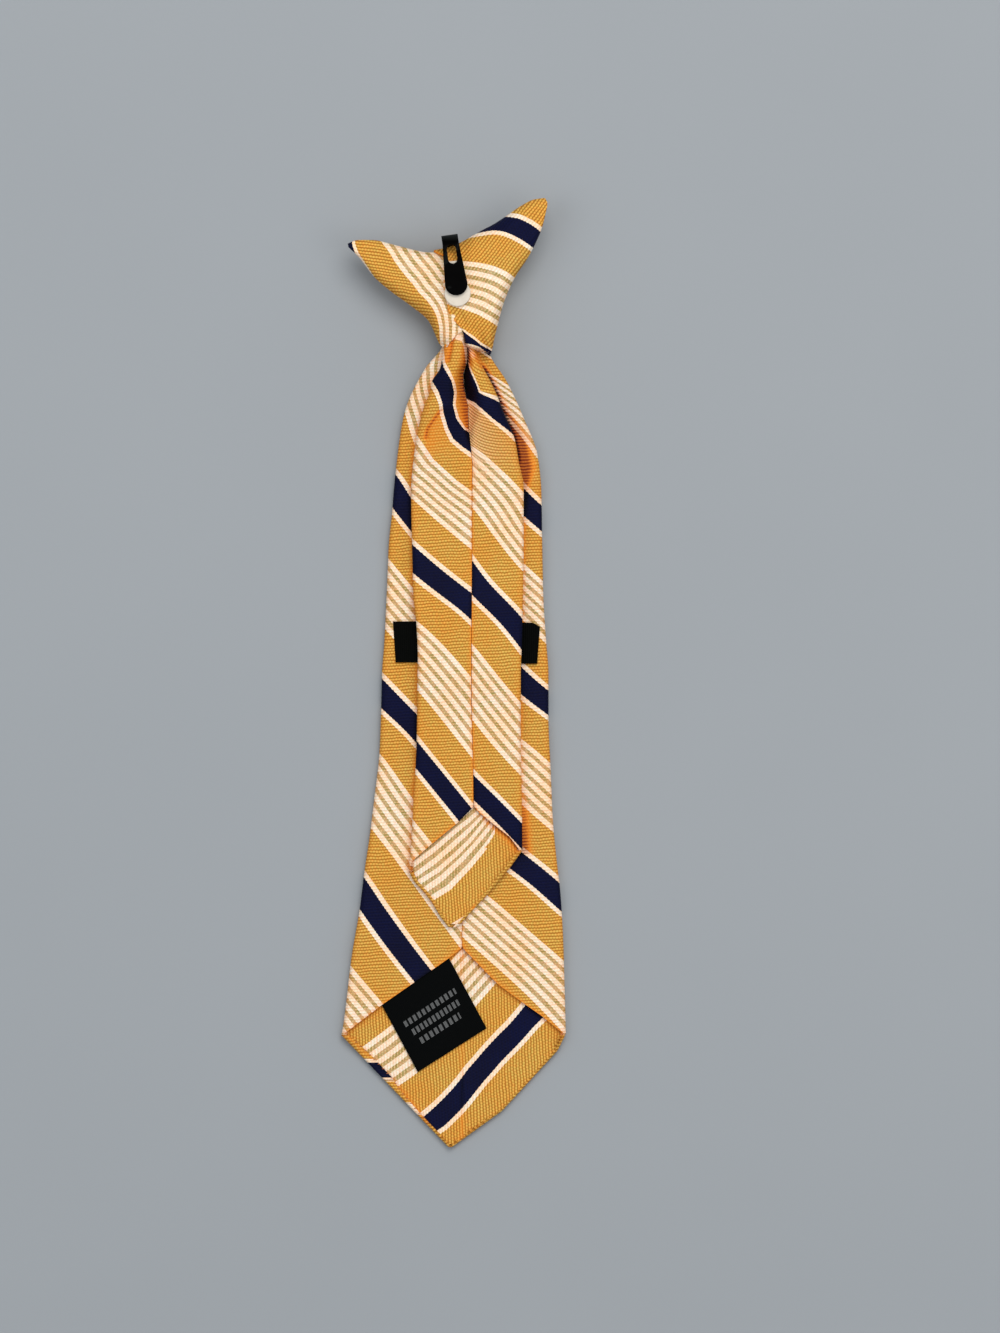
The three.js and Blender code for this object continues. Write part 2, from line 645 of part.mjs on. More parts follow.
// Colours
const stripedCloth = new THREE.MeshStandardMaterial({ color: 0xdb9c36, roughness: 0.62, metalness: 0 });
const blackRibbon = new THREE.MeshStandardMaterial({ color: 0x0a0b0a, roughness: 0.8, metalness: 0 });
const blackSteel = new THREE.MeshStandardMaterial({ color: 0x060506, roughness: 0.38, metalness: 0.6 });
const palePlastic = new THREE.MeshStandardMaterial({ color: 0xded0bd, roughness: 0.5, metalness: 0 });

const pieces = [
  ["front_blade", foldedPanel(blade, bladeStations()), stripedCloth],
  ["front_facing", bladeFacing(), stripedCloth],
  ["tail_blade", foldedPanel(tail, tailStations()), stripedCloth],
  ["tail_facing", tailFacing(), stripedCloth],
  ["keeper_band", keeperBand(), blackRibbon],
  ["care_label", careLabel(), blackRibbon],
  ["knot_wrap", knotWrap(), stripedCloth],
  ["clip_pad", clipPad(), palePlastic],
  ["collar_clip", collarClip(), blackSteel],
];

const tie = new THREE.Group();
tie.name = "clip_on_tie";
for (const [name, geometry, material] of pieces) {
  const mesh = new THREE.Mesh(geometry, material);
  mesh.name = name;
  tie.add(mesh);
}

// The whole tie moves so that the middle of its footprint is the origin.
const footprint = new THREE.Box3().setFromObject(tie);
const middle = footprint.getCenter(new THREE.Vector3());
tie.position.set(-middle.x, -middle.y, -footprint.min.z);

export default tie;
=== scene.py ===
# %% [markdown]
# # A child's clip-on tie, lying on its front
# The tie lies with its back up, so the camera sees how it is made: a wide blade folded from one
# cloth, a narrow tail on top of it, a tied knot with a spring clip, a ribbon that keeps the tail
# in place and a small woven label. The measured model (the "frame") gives every piece its place.

# %% Load the frame
import bpy
import bmesh
import math
import numpy as np
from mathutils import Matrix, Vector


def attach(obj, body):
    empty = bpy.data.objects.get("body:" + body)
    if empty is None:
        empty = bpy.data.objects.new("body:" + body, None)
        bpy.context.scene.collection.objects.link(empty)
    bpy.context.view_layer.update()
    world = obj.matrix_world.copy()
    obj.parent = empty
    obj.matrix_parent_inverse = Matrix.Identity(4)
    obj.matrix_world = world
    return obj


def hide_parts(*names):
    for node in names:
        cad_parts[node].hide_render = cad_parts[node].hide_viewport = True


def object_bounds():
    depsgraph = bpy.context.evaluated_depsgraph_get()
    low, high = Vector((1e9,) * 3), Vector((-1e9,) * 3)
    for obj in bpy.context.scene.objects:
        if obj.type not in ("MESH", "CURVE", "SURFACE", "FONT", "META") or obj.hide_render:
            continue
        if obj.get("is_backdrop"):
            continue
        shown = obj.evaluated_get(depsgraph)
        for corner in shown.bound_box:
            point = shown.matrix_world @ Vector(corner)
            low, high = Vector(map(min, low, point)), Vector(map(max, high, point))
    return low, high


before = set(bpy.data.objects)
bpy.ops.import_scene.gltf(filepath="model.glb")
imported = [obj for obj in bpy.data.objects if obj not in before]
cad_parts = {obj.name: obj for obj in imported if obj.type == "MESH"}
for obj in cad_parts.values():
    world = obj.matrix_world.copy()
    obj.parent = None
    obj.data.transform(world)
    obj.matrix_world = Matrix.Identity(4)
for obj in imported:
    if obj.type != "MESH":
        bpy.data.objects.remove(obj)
CAD_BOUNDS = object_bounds()
MM = 0.001
print("nodes:", ", ".join(sorted(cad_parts)))
print("frame box in metres:", [[round(v, 4) for v in corner] for corner in CAD_BOUNDS])

# %% [markdown]
# ## The camera
# The picture was taken from straight above. A long lens far away keeps the raised knot and the
# flat blade at one scale. The tie lies a little left of the middle of the picture.

# %% Camera
VIEW_CENTRE = (13.95, 2.3)  # mm, what the middle of the picture looks at
VIEW_HEIGHT = 413.0  # mm of surface from the top of the picture to the bottom
CAMERA_DISTANCE = 5000.0  # mm above the surface

camera_data = bpy.data.cameras.new("camera")
camera_data.sensor_fit = "VERTICAL"
camera_data.sensor_height = 24.0
camera_data.lens = 24.0 * CAMERA_DISTANCE / VIEW_HEIGHT
camera_data.clip_start = 0.05
camera = bpy.data.objects.new("camera", camera_data)
camera.location = (VIEW_CENTRE[0] * MM, VIEW_CENTRE[1] * MM, CAMERA_DISTANCE * MM)
bpy.context.collection.objects.link(camera)
bpy.context.scene.camera = camera
bpy.context.scene.view_settings.view_transform = "Standard"  # bright cloth keeps its full colour
print("lens:", round(camera_data.lens, 1), "mm")

# %% [markdown]
# ## Smooth curves through short tables
# Every outline is a short table of points measured down the tie. A cubic curve that never
# overshoots its points turns such a table into as many rows as the mesh needs.

# %% Table helper
def through(table, column=1):
    """A smooth function of a table's first column, without overshoot between its rows."""
    rows = sorted(table)
    x = np.array([row[0] for row in rows], float)
    y = np.array([row[column] for row in rows], float)
    step = np.diff(x)
    slope = np.diff(y) / step
    tangent = np.zeros_like(x)
    same = slope[:-1] * slope[1:] > 0
    w1 = 2 * step[1:] + step[:-1]
    w2 = step[1:] + 2 * step[:-1]
    with np.errstate(divide="ignore", invalid="ignore"):
        mean = (w1 + w2) / (w1 / slope[:-1] + w2 / slope[1:])
    tangent[1:-1] = np.where(same, mean, 0.0)
    tangent[0], tangent[-1] = slope[0], slope[-1]

    def value(at):
        at = np.asarray(at, float)
        i = np.clip(np.searchsorted(x, at, side="right") - 1, 0, len(step) - 1)
        t = np.clip((at - x[i]) / step[i], 0, 1)
        h = step[i]
        inside = (
            (1 + 2 * t) * (1 - t) ** 2 * y[i]
            + t * (1 - t) ** 2 * h * tangent[i]
            + t * t * (3 - 2 * t) * y[i + 1]
            + t * t * (t - 1) * h * tangent[i + 1]
        )
        return inside

    return value


def straight(table, column=1):
    """Straight lines between a table's rows."""
    rows = sorted(table)
    x = [row[0] for row in rows]
    y = [row[column] for row in rows]
    return lambda at: np.interp(at, x, y)


def ramp(x, low, high):
    """A smooth step from 0 at low to 1 at high."""
    t = np.clip((np.asarray(x, float) - low) / (high - low), 0, 1)
    return t * t * (3 - 2 * t)


def bell(x):
    """A round bump: 1 at 0, and 0 from 1 on."""
    x = np.abs(x)
    return np.where(x < 1, 0.5 + 0.5 * np.cos(np.pi * np.minimum(x, 1)), 0.0)


def near_line(x, y, points):
    """Distance in mm from each point to a polyline."""
    best = np.full(np.broadcast(x, y).shape, 1e9)
    for (ax, ay), (bx, by) in zip(points[:-1], points[1:]):
        dx, dy = bx - ax, by - ay
        t = np.clip(((x - ax) * dx + (y - ay) * dy) / (dx * dx + dy * dy), 0, 1)
        best = np.minimum(best, np.hypot(x - ax - t * dx, y - ay - t * dy))
    return best


def ripple(x, y, size, seed):
    """Slow unevenness of soft cloth, between about -1 and 1."""
    total = 0.0
    for k in range(5):
        a = 2.399 * (k + 1) + seed
        total = total + np.sin((x * np.cos(a) + y * np.sin(a)) * (1 + 0.37 * k) / size + 1.7 * a)
    return total / 3.0


def fade(distance, width):
    """1 at no distance, with a sharp peak, falling off on both sides."""
    return np.exp(-np.abs(distance) / width)


def hill(distance, width):
    """1 at no distance, with a round top, falling off on both sides."""
    return np.exp(-((distance / width) ** 2))


def flipped(table):
    """Rows of (y, x) as points (x, y), or the other way round."""
    return [(b, a) for a, b in table]


def nothing(x, *others):
    """No height, no shade, no bend."""
    return 0.0 * x


# %% [markdown]
# ## A piece of cloth as a mesh
# Each cloth piece is a grid of points for its outer face and a second grid for its inner face,
# joined round the rim. Two UV maps go with the points: one counts the stripe repeats of the
# pattern, and the other measures the cloth in millimetres for the ribs of its weave. So the
# pattern follows the cloth round every fold, as the real dyed threads do.

# %% Mesh helper
def placed(name, mesh):
    """An object for a mesh, at the origin."""
    piece = bpy.data.objects.new(name, mesh)
    bpy.context.collection.objects.link(piece)
    return piece


def quads_of(index):
    """Four-sided faces between the rows and columns of a grid of point numbers."""
    a, b = index[:-1, :-1].ravel(), index[:-1, 1:].ravel()
    c, d = index[1:, 1:].ravel(), index[1:, :-1].ravel()
    return np.stack([a, b, c, d], 1)


def two_sides(index):
    """The same faces for the outer grid, and turned round for the inner one."""
    quads = quads_of(index)
    return [quads, quads[:, [0, 3, 2, 1]] + index.max() + 1]


def cloth_mesh(name, outer, inner, stripes, weave, tints):
    """Join two grids of points (rows, columns, 3) in mm into one closed cloth piece."""
    rows, columns = outer.shape[:2]
    count = rows * columns
    points = np.concatenate([outer.reshape(-1, 3), inner.reshape(-1, 3)]) * MM
    index = np.arange(count).reshape(rows, columns)
    faces = two_sides(index)

    def rim(line, turn):
        p, q = line[:-1], line[1:]
        quad = [p, q, q + count, p + count]
        faces.append(np.stack(quad[::-1] if turn else quad, 1))

    rim(index[0], True)
    rim(index[-1], False)
    rim(index[:, 0], False)
    rim(index[:, -1], True)
    return grid_mesh(name, points, np.concatenate(faces), stripes, weave, tints, count)


def grid_mesh(name, points, faces, stripes, weave, tints, count):
    """A mesh from plain arrays; tints are values per point, such as the painted shade of folds."""
    mesh = bpy.data.meshes.new(name)
    mesh.vertices.add(len(points))
    mesh.vertices.foreach_set("co", points.astype(np.float32).ravel())
    mesh.loops.add(faces.size)
    mesh.loops.foreach_set("vertex_index", faces.astype(np.int32).ravel())
    mesh.polygons.add(len(faces))
    mesh.polygons.foreach_set("loop_start", np.arange(0, faces.size, 4, dtype=np.int32))
    mesh.polygons.foreach_set("use_smooth", np.ones(len(faces), bool))
    mesh.update(calc_edges=True)
    corner = faces.ravel() % count
    for map_name, values in (("stripes", stripes), ("weave", weave)):
        layer = mesh.uv_layers.new(name=map_name)
        layer.data.foreach_set("uv", values.reshape(-1, 2)[corner].astype(np.float32).ravel())
    for tint_name, values in tints.items():
        layer = mesh.attributes.new(tint_name, "FLOAT", "POINT")
        per_point = np.tile(values.ravel(), len(points) // count)
        layer.data.foreach_set("value", per_point.astype(np.float32))
    mesh.validate()
    mesh.set_sharp_from_angle(angle=math.radians(50))
    print(name, "faces:", len(faces))
    return placed(name, mesh)


def inwards(grid, thickness):
    """The grid moved in by a thickness along its own normals."""
    du = np.gradient(grid, axis=1)
    dv = np.gradient(grid, axis=0)
    normal = np.cross(du, dv)
    normal /= np.maximum(np.linalg.norm(normal, axis=2, keepdims=True), 1e-9)
    return grid - normal * np.asarray(thickness)[..., None]


# %% [markdown]
# ## The striped cloth
# The pattern repeats every 43 mm: a navy stripe with white edges, an orange stripe, six thin
# white lines, and orange again. A colour ramp over one repeat says all of that.

# %% Stripe sizes
REPEAT = 43.14  # mm across the stripes
NAVY = 5.8
EDGE = 1.4
ORANGE_A = 10.06
LINE = 1.52
GAP = 1.236
LINES = 6
ORANGE_B = REPEAT - NAVY - 2 * EDGE - ORANGE_A - LINES * LINE - (LINES - 1) * GAP
COUNT_FROM = 0.0081  # the tables count from this share of a repeat inside the navy stripe

# where the stripes stand in the tables' count
EDGE_FROM, NAVY_FROM, NAVY_TO, EDGE_TO = -0.041, -0.008, 0.126, 0.159
LINES_FROM, LINES_TO = 0.392, 0.747
FIRST_LINE, FIRST_ORANGE, SECOND_ORANGE, LAST_EDGE = 0.41, 0.30, 0.86, 0.975

COLOURS = {
    "navy": (0.00248, 0.00317, 0.02137),
    "white": (0.945, 0.805, 0.685),
    "orange": (0.805, 0.457, 0.098),
    "gap": (0.68, 0.465, 0.235),
}


def stripe_order():
    """Each stripe's name and where it starts, in shares of a repeat."""
    widths = [("navy", NAVY), ("white", EDGE), ("orange", ORANGE_A)]
    for i in range(LINES):
        widths.append(("white", LINE))
        if i < LINES - 1:
            widths.append(("gap", GAP))
    widths += [("orange", ORANGE_B), ("white", EDGE)]
    at = 0.0
    order = []
    for name, width in widths:
        order.append((name, at / REPEAT))
        at += width
    return order


print("stripes in one repeat:", len(stripe_order()), "second orange:", round(ORANGE_B, 2), "mm")

# %% [markdown]
# Shader groups keep the pattern in one place. The first turns a place in the repeat into a
# colour and three masks. The second draws the ribs of the twill and the small threads on them.

# %% Node helpers
def new_group(name, inputs, outputs):
    group = bpy.data.node_groups.new(name, "ShaderNodeTree")
    for label, kind, value in inputs:
        socket = group.interface.new_socket(name=label, in_out="INPUT", socket_type=kind)
        if value is not None:
            socket.default_value = value
    for label, kind in outputs:
        group.interface.new_socket(name=label, in_out="OUTPUT", socket_type=kind)
    source = group.nodes.new("NodeGroupInput")
    sink = group.nodes.new("NodeGroupOutput")
    return group, source, sink


def join(tree, value, socket):
    """Link a socket, or set a plain number or colour."""
    if isinstance(value, bpy.types.NodeSocket):
        tree.links.new(value, socket)
    else:
        socket.default_value = value


def math_node(tree, operation, *values):
    node = tree.nodes.new("ShaderNodeMath")
    node.operation = operation
    for value, socket in zip(values, node.inputs):
        join(tree, value, socket)
    return node.outputs[0]


def mix_colour(tree, factor, a, b, blend="MIX"):
    node = tree.nodes.new("ShaderNodeMix")
    node.data_type = "RGBA"
    node.blend_type = blend
    for value, at in ((factor, 0), (a, 6), (b, 7)):
        if at and not isinstance(value, bpy.types.NodeSocket) and len(value) == 3:
            value = (*value, 1.0)
        join(tree, value, node.inputs[at])
    return node.outputs[2]


def noise(tree, vector, scale, detail=2.0):
    node = tree.nodes.new("ShaderNodeTexNoise")
    node.inputs["Scale"].default_value = scale
    node.inputs["Detail"].default_value = detail
    join(tree, vector, node.inputs["Vector"])
    return node.outputs[0]


def start_material(name):
    """A new material, its node tree and its main shader."""
    material = bpy.data.materials.new(name)
    material.use_nodes = True
    return material, material.node_tree, material.node_tree.nodes["Principled BSDF"]


def add_bump(tree, shader, height, strength, distance):
    bump = tree.nodes.new("ShaderNodeBump")
    bump.inputs["Strength"].default_value = strength
    bump.inputs["Distance"].default_value = distance
    tree.links.new(height, bump.inputs["Height"])
    tree.links.new(bump.outputs[0], shader.inputs["Normal"])


def spread(tree, value, gain):
    """A noise value spread round one half and kept between 0 and 1."""
    node = tree.nodes.new("ShaderNodeMath")
    node.operation = "MULTIPLY_ADD"
    node.use_clamp = True
    for item, socket in zip((value, gain, 0.5 - 0.5 * gain), node.inputs):
        join(tree, item, socket)
    return node.outputs[0]


def clamped(tree, value, highest):
    """A value kept between 0 and a highest one."""
    return math_node(tree, "MINIMUM", math_node(tree, "MAXIMUM", value, 0.0), highest)


def times(tree, first, *others):
    for other in others:
        first = math_node(tree, "MULTIPLY", first, other)
    return first


def scaled(tree, colour, by):
    node = tree.nodes.new("ShaderNodeVectorMath")
    node.operation = "SCALE"
    tree.links.new(colour, node.inputs[0])
    tree.links.new(by, node.inputs["Scale"])
    return node.outputs[0]


# %% Stripe group
def stripe_ramp(tree, place, colour_of):
    node = tree.nodes.new("ShaderNodeValToRGB")
    node.color_ramp.interpolation = "CONSTANT"
    stops = node.color_ramp.elements
    for i, (name, at) in enumerate(stripe_order()):
        stop = stops[i] if i < 2 else stops.new(at)  # a new ramp comes with two stops
        stop.position = at
        stop.color = (*colour_of(name), 1.0)
    join(tree, place, node.inputs[0])
    return node.outputs[0]


def make_stripe_group():
    group, source, sink = new_group(
        "stripe_repeat",
        [("Repeats", "NodeSocketFloat", 0.0)],
        [("Colour", "NodeSocketColor"), ("White", "NodeSocketFloat"),
         ("Gap", "NodeSocketFloat"), ("Navy", "NodeSocketFloat")],
    )
    place = math_node(group, "FRACT", source.outputs[0])
    colour = stripe_ramp(group, place, lambda name: COLOURS[name])
    masks = {"white": (1, 0, 0), "gap": (0, 1, 0), "navy": (0, 0, 1)}
    mask = stripe_ramp(group, place, lambda name: masks.get(name, (0, 0, 0)))
    split = group.nodes.new("ShaderNodeSeparateColor")
    group.links.new(mask, split.inputs[0])
    group.links.new(colour, sink.inputs[0])
    for i in range(3):
        group.links.new(split.outputs[i], sink.inputs[i + 1])
    return group


stripe_group = make_stripe_group()

# %% Twill group
RIB = 0.93  # mm from rib to rib
THREAD = 0.93  # mm from thread to thread along a rib


def make_twill_group():
    group, source, sink = new_group(
        "twill_ribs",
        [("Cloth", "NodeSocketVector", None), ("Rib", "NodeSocketFloat", RIB),
         ("Thread", "NodeSocketFloat", THREAD), ("Waviness", "NodeSocketFloat", 0.1)],
        [("Groove", "NodeSocketFloat"), ("Between threads", "NodeSocketFloat"),
         ("Height", "NodeSocketFloat"), ("Uneven", "NodeSocketFloat")],
    )
    cloth, rib, thread, waviness = source.outputs[:4]
    parts = group.nodes.new("ShaderNodeSeparateXYZ")
    group.links.new(cloth, parts.inputs[0])
    across, along = parts.outputs[0], parts.outputs[1]
    slow = noise(group, cloth, 0.16, 2.0)
    quick = noise(group, cloth, 0.9, 3.0)
    shift = math_node(group, "MULTIPLY", math_node(group, "SUBTRACT", slow, 0.5), 9.0)
    wobble = math_node(group, "MULTIPLY", math_node(group, "SUBTRACT", quick, 0.5), 1.6)
    bent = math_node(group, "MULTIPLY", math_node(group, "ADD", shift, wobble), waviness)
    turns = math_node(group, "DIVIDE", math_node(group, "ADD", along, bent), rib)
    angle = math_node(group, "MULTIPLY", turns, 2 * math.pi)
    wave = math_node(group, "COSINE", angle)
    groove = math_node(group, "MULTIPLY_ADD", wave, 0.5, 0.5)
    groove = math_node(group, "POWER", groove, 1.6)
    stagger = math_node(group, "MULTIPLY", math_node(group, "FLOOR", turns), 0.5)
    threads = math_node(group, "ADD", math_node(group, "DIVIDE", across, thread), stagger)
    thread_wave = math_node(group, "COSINE", math_node(group, "MULTIPLY", threads, 2 * math.pi))
    between = math_node(group, "MULTIPLY_ADD", thread_wave, 0.5, 0.5)
    between = math_node(group, "POWER", between, 2.0)
    low = math_node(group, "MULTIPLY_ADD", between, 0.55, groove)
    height = math_node(group, "SUBTRACT", 1.0, low)
    for i, value in enumerate((groove, between, height, quick)):
        group.links.new(value, sink.inputs[i])
    return group


twill_group = make_twill_group()
print("groups:", stripe_group.name, twill_group.name)

# %% [markdown]
# The cloth's material puts both groups together. Grooves between the ribs are darker and redder
# than their crests. In the gaps between the thin white lines the weft shows as short dashes, some
# olive and some tan. Two values kept on the mesh carry painted light: one is painted shade in the
# folds and beside the other pieces, turning orange to red, then black, and navy to black; "pale" is
# a painted pinkish sheen where the ribs catch the light.

# %% Striped cloth material
GROOVE_TINT = {"orange": (0.50, 0.35, 0.20), "white": (0.94, 0.81, 0.69), "navy": (1.7, 1.7, 1.5)}
OLIVE, TAN = (0.34, 0.27, 0.085), (0.60, 0.39, 0.21)
# painted shade: hot orange in shallow folds, dark red in deep ones
PAINTED_SHADE_ORANGE, PAINTED_SHADE_RED = (0.80, 0.215, 0.016), (0.19, 0.020, 0.011)
# colour of the painted pinkish sheen
PAINTED_SHEEN_COLOUR = (0.86, 0.53, 0.36)
OLIVE_SHARE = 0.88  # how far a dash covers the gap's colour
FLECKS = (1.05, 0.93, 0.84), (0.97, 1.04, 0.98)  # small redder and greener specks
DYE_DRIFT = (1.03, 0.93, 0.82), (0.98, 1.04, 1.10)  # slow change of the dye over the cloth


def dyed_threads(tree, cloth, twill, stripes):
    """The colour of flat cloth: stripes, grooves, dashes and the unevenness of the dye."""
    groove, between, uneven = twill.outputs[0], twill.outputs[1], twill.outputs[3]
    colour, white, gap, navy = stripes.outputs[:4]
    tint = mix_colour(tree, white, GROOVE_TINT["orange"], GROOVE_TINT["white"])
    tint = mix_colour(tree, navy, tint, GROOVE_TINT["navy"])
    depth = math_node(tree, "MINIMUM", math_node(tree, "MULTIPLY_ADD", between, 0.5, groove), 1.0)
    ribbed = mix_colour(tree, depth, colour, mix_colour(tree, 1.0, colour, tint, "MULTIPLY"))
    dash = math_node(tree, "GREATER_THAN", groove, 0.30)
    dash = times(tree, dash, gap, OLIVE_SHARE)
    weft = mix_colour(tree, spread(tree, noise(tree, cloth, 0.42, 1.0), 5.0), TAN, OLIVE)
    dashed = mix_colour(tree, dash, ribbed, weft)
    specks = spread(tree, noise(tree, cloth, 1.15, 0.0), 3.0)
    fleck = mix_colour(tree, specks, *FLECKS)
    broad = spread(tree, noise(tree, cloth, 0.085, 1.0), 2.6)
    dye = mix_colour(tree, broad, *DYE_DRIFT)
    dyed = mix_colour(tree, 1.0, mix_colour(tree, 1.0, dashed, fleck, "MULTIPLY"), dye, "MULTIPLY")
    return scaled(tree, dyed, math_node(tree, "MULTIPLY_ADD", uneven, 0.30, 0.85))


def painted_shade_and_sheen(tree, flat, groove, white, navy):
    """The same cloth with painted shade in its folds and beside other pieces, and a painted sheen.
    """
    fold = tree.nodes.new("ShaderNodeAttribute")
    fold.attribute_name = "fold"
    pale = tree.nodes.new("ShaderNodeAttribute")
    pale.attribute_name = "pale"
    # painted shade in three stages: hot orange, then dark red, then black in the deepest places;
    # navy darkens instead of reddening
    ribbed = math_node(tree, "MULTIPLY_ADD", groove, 0.9, 1.55)
    twice = math_node(tree, "MULTIPLY", fold.outputs["Fac"], ribbed)
    first = math_node(tree, "MINIMUM", twice, 1.0)
    second = clamped(tree, math_node(tree, "SUBTRACT", twice, 1.0), 1.0)
    third = clamped(tree, math_node(tree, "SUBTRACT", twice, 2.1), 0.92)
    keeps = math_node(tree, "MAXIMUM", navy, math_node(tree, "MULTIPLY", white, 0.5))
    takes = math_node(tree, "SUBTRACT", 1.0, keeps)
    warm, red = times(tree, first, takes, 0.8), times(tree, second, takes, 0.9)
    colour = mix_colour(tree, red, mix_colour(tree, warm, flat, PAINTED_SHADE_ORANGE), PAINTED_SHADE_RED)
    shade = times(tree, first, navy, -0.75)
    colour = scaled(tree, colour, math_node(tree, "ADD", shade, 1.0))
    colour = scaled(tree, colour, math_node(tree, "SUBTRACT", 1.0, third))
    # painted sheen: a pinkish light tint where the pale value is set, weaker in the grooves
    light = times(
        tree, pale.outputs["Fac"], math_node(tree, "SUBTRACT", 1.0, navy),
        math_node(tree, "MULTIPLY_ADD", groove, -1.0, 1.1),
    )
    return mix_colour(tree, light, colour, PAINTED_SHEEN_COLOUR)


def uv_place(tree, map_name):
    node = tree.nodes.new("ShaderNodeUVMap")
    node.uv_map = map_name
    return node.outputs[0]


def woven(tree, cloth, rib, thread, waviness):
    """The twill group with one cloth's own sizes."""
    twill = tree.nodes.new("ShaderNodeGroup")
    twill.node_tree = twill_group
    tree.links.new(cloth, twill.inputs["Cloth"])
    for label, value in (("Rib", rib), ("Thread", thread), ("Waviness", waviness)):
        twill.inputs[label].default_value = value
    return twill


JAGGED = 0.0026  # a stripe's edge steps this share of a repeat from rib to rib


def striped_cloth(name):
    material, tree, shader = start_material(name)
    cloth = uv_place(tree, "weave")
    twill = woven(tree, cloth, RIB, THREAD, 0.11)
    place = tree.nodes.new("ShaderNodeSeparateXYZ")
    tree.links.new(uv_place(tree, "stripes"), place.inputs[0])
    step = COUNT_FROM - JAGGED / 2
    jagged = math_node(tree, "MULTIPLY_ADD", twill.outputs["Groove"], JAGGED, step)
    stripes = tree.nodes.new("ShaderNodeGroup")
    stripes.node_tree = stripe_group
    tree.links.new(math_node(tree, "ADD", place.outputs[0], jagged), stripes.inputs[0])
    flat = dyed_threads(tree, cloth, twill, stripes)
    groove, white, navy = twill.outputs["Groove"], stripes.outputs["White"], stripes.outputs["Navy"]
    tree.links.new(painted_shade_and_sheen(tree, flat, groove, white, navy), shader.inputs["Base Color"])
    rough = math_node(tree, "MULTIPLY_ADD", groove, 0.2, 0.58)
    tree.links.new(rough, shader.inputs["Roughness"])
    shader.inputs["Specular IOR Level"].default_value = 0.06
    add_bump(tree, shader, twill.outputs["Height"], 0.55, 0.00016)
    return material


CLOTH = striped_cloth("striped_cloth")
print("material:", CLOTH.name)

# %% [markdown]
# ## The wide blade
# The blade is one cloth. It is folded round at its left and right edges, and its two flaps meet
# at a seam down the middle of the back. Near the point the flaps part along a V, and below the
# corners only a narrow turned hem is left. So every cross-section is the same closed-up "C", and
# a mesh of such sections, one under the other, is the whole blade. The tables hold millimetres.

# %% Blade outline
BLADE_LEFT = [
    (107.0, -1.6), (101.1, -4.0), (94.5, -9.3), (80.3, -15.8), (63.5, -18.3), (54.2, -19.2),
    (50.2, -19.5), (40.3, -20.5), (24.5, -21.2), (8.7, -22.0), (0.9, -22.6), (-10.8, -22.9),
    (-23.9, -23.4), (-39.1, -25.1), (-49.9, -26.4), (-61.4, -28.1), (-71.9, -29.4),
    (-88.0, -32.1), (-108.5, -34.6), (-111.9, -35.2),
]
BLADE_RIGHT = [
    (107.0, 8.3), (98.9, 10.8), (90.5, 16.1), (78.4, 21.7), (67.9, 25.6), (56.1, 26.8),
    (44.3, 27.0), (24.5, 27.4), (8.7, 28.4), (0.0, 29.0), (-13.0, 29.0), (-30.4, 29.7),
    (-45.6, 30.4), (-60.8, 31.9), (-65.7, 32.5), (-81.2, 33.5), (-96.7, 34.0), (-111.4, 34.4),
]
BLADE_SEAM = [(107.0, 3.4), (50.2, 3.7), (4.3, 3.3), (-46.8, 2.2), (-112.0, 2.2)]
BLADE_POINT_LEFT = [(-111.9, -35.2), (-125.1, -22.6), (-138.3, -10.0), (-146.6, -2.0)]
BLADE_POINT_RIGHT = [(-111.4, 34.4), (-116.7, 31.8), (-135.4, 14.6), (-143.4, 3.5), (-146.6, -0.9)]
BLADE_V_LEFT = [(-85.0, 2.0), (-88.2, -2.1), (-102.4, -22.5), (-111.2, -34.0)]
BLADE_V_RIGHT = [(-85.0, 2.5), (-95.9, 13.1), (-102.3, 21.7), (-106.0, 27.0), (-111.4, 33.6)]
BLADE_HEM_LEFT = [
    (-111.2, 1.4), (-113.0, 2.6), (-118.5, 3.3), (-125.0, 3.2), (-129.0, 2.0), (-138.0, 1.1),
    (-146.6, 0.7),
]
BLADE_HEM_RIGHT = [(-111.4, 0.8), (-114.0, 0.9), (-146.6, 0.7)]
# height of the underside above the surface, and from there to the top of the flaps
BLADE_DEPTH = [
    (107.0, 2.2, 5.0), (100.4, 2.2, 5.0), (94.9, 2.0, 4.9), (90.4, 1.6, 4.8), (84.9, 1.0, 4.6),
    (78.3, 0.45, 4.4), (69.6, 0.06, 4.1), (60.0, 0.06, 3.8), (45.2, 0.06, 3.5), (24.0, 0.06, 3.3),
    (-60.0, 0.06, 3.2), (-111.9, 0.06, 3.2), (-118.0, 0.06, 2.3), (-146.6, 0.06, 2.1),
]


def blade_top(y):
    """Height of the blade's back above the surface."""
    return through(BLADE_DEPTH, 1)(y) + through(BLADE_DEPTH, 2)(y)


BLADE_EDGE = {"left": through(BLADE_LEFT), "right": through(BLADE_RIGHT)}

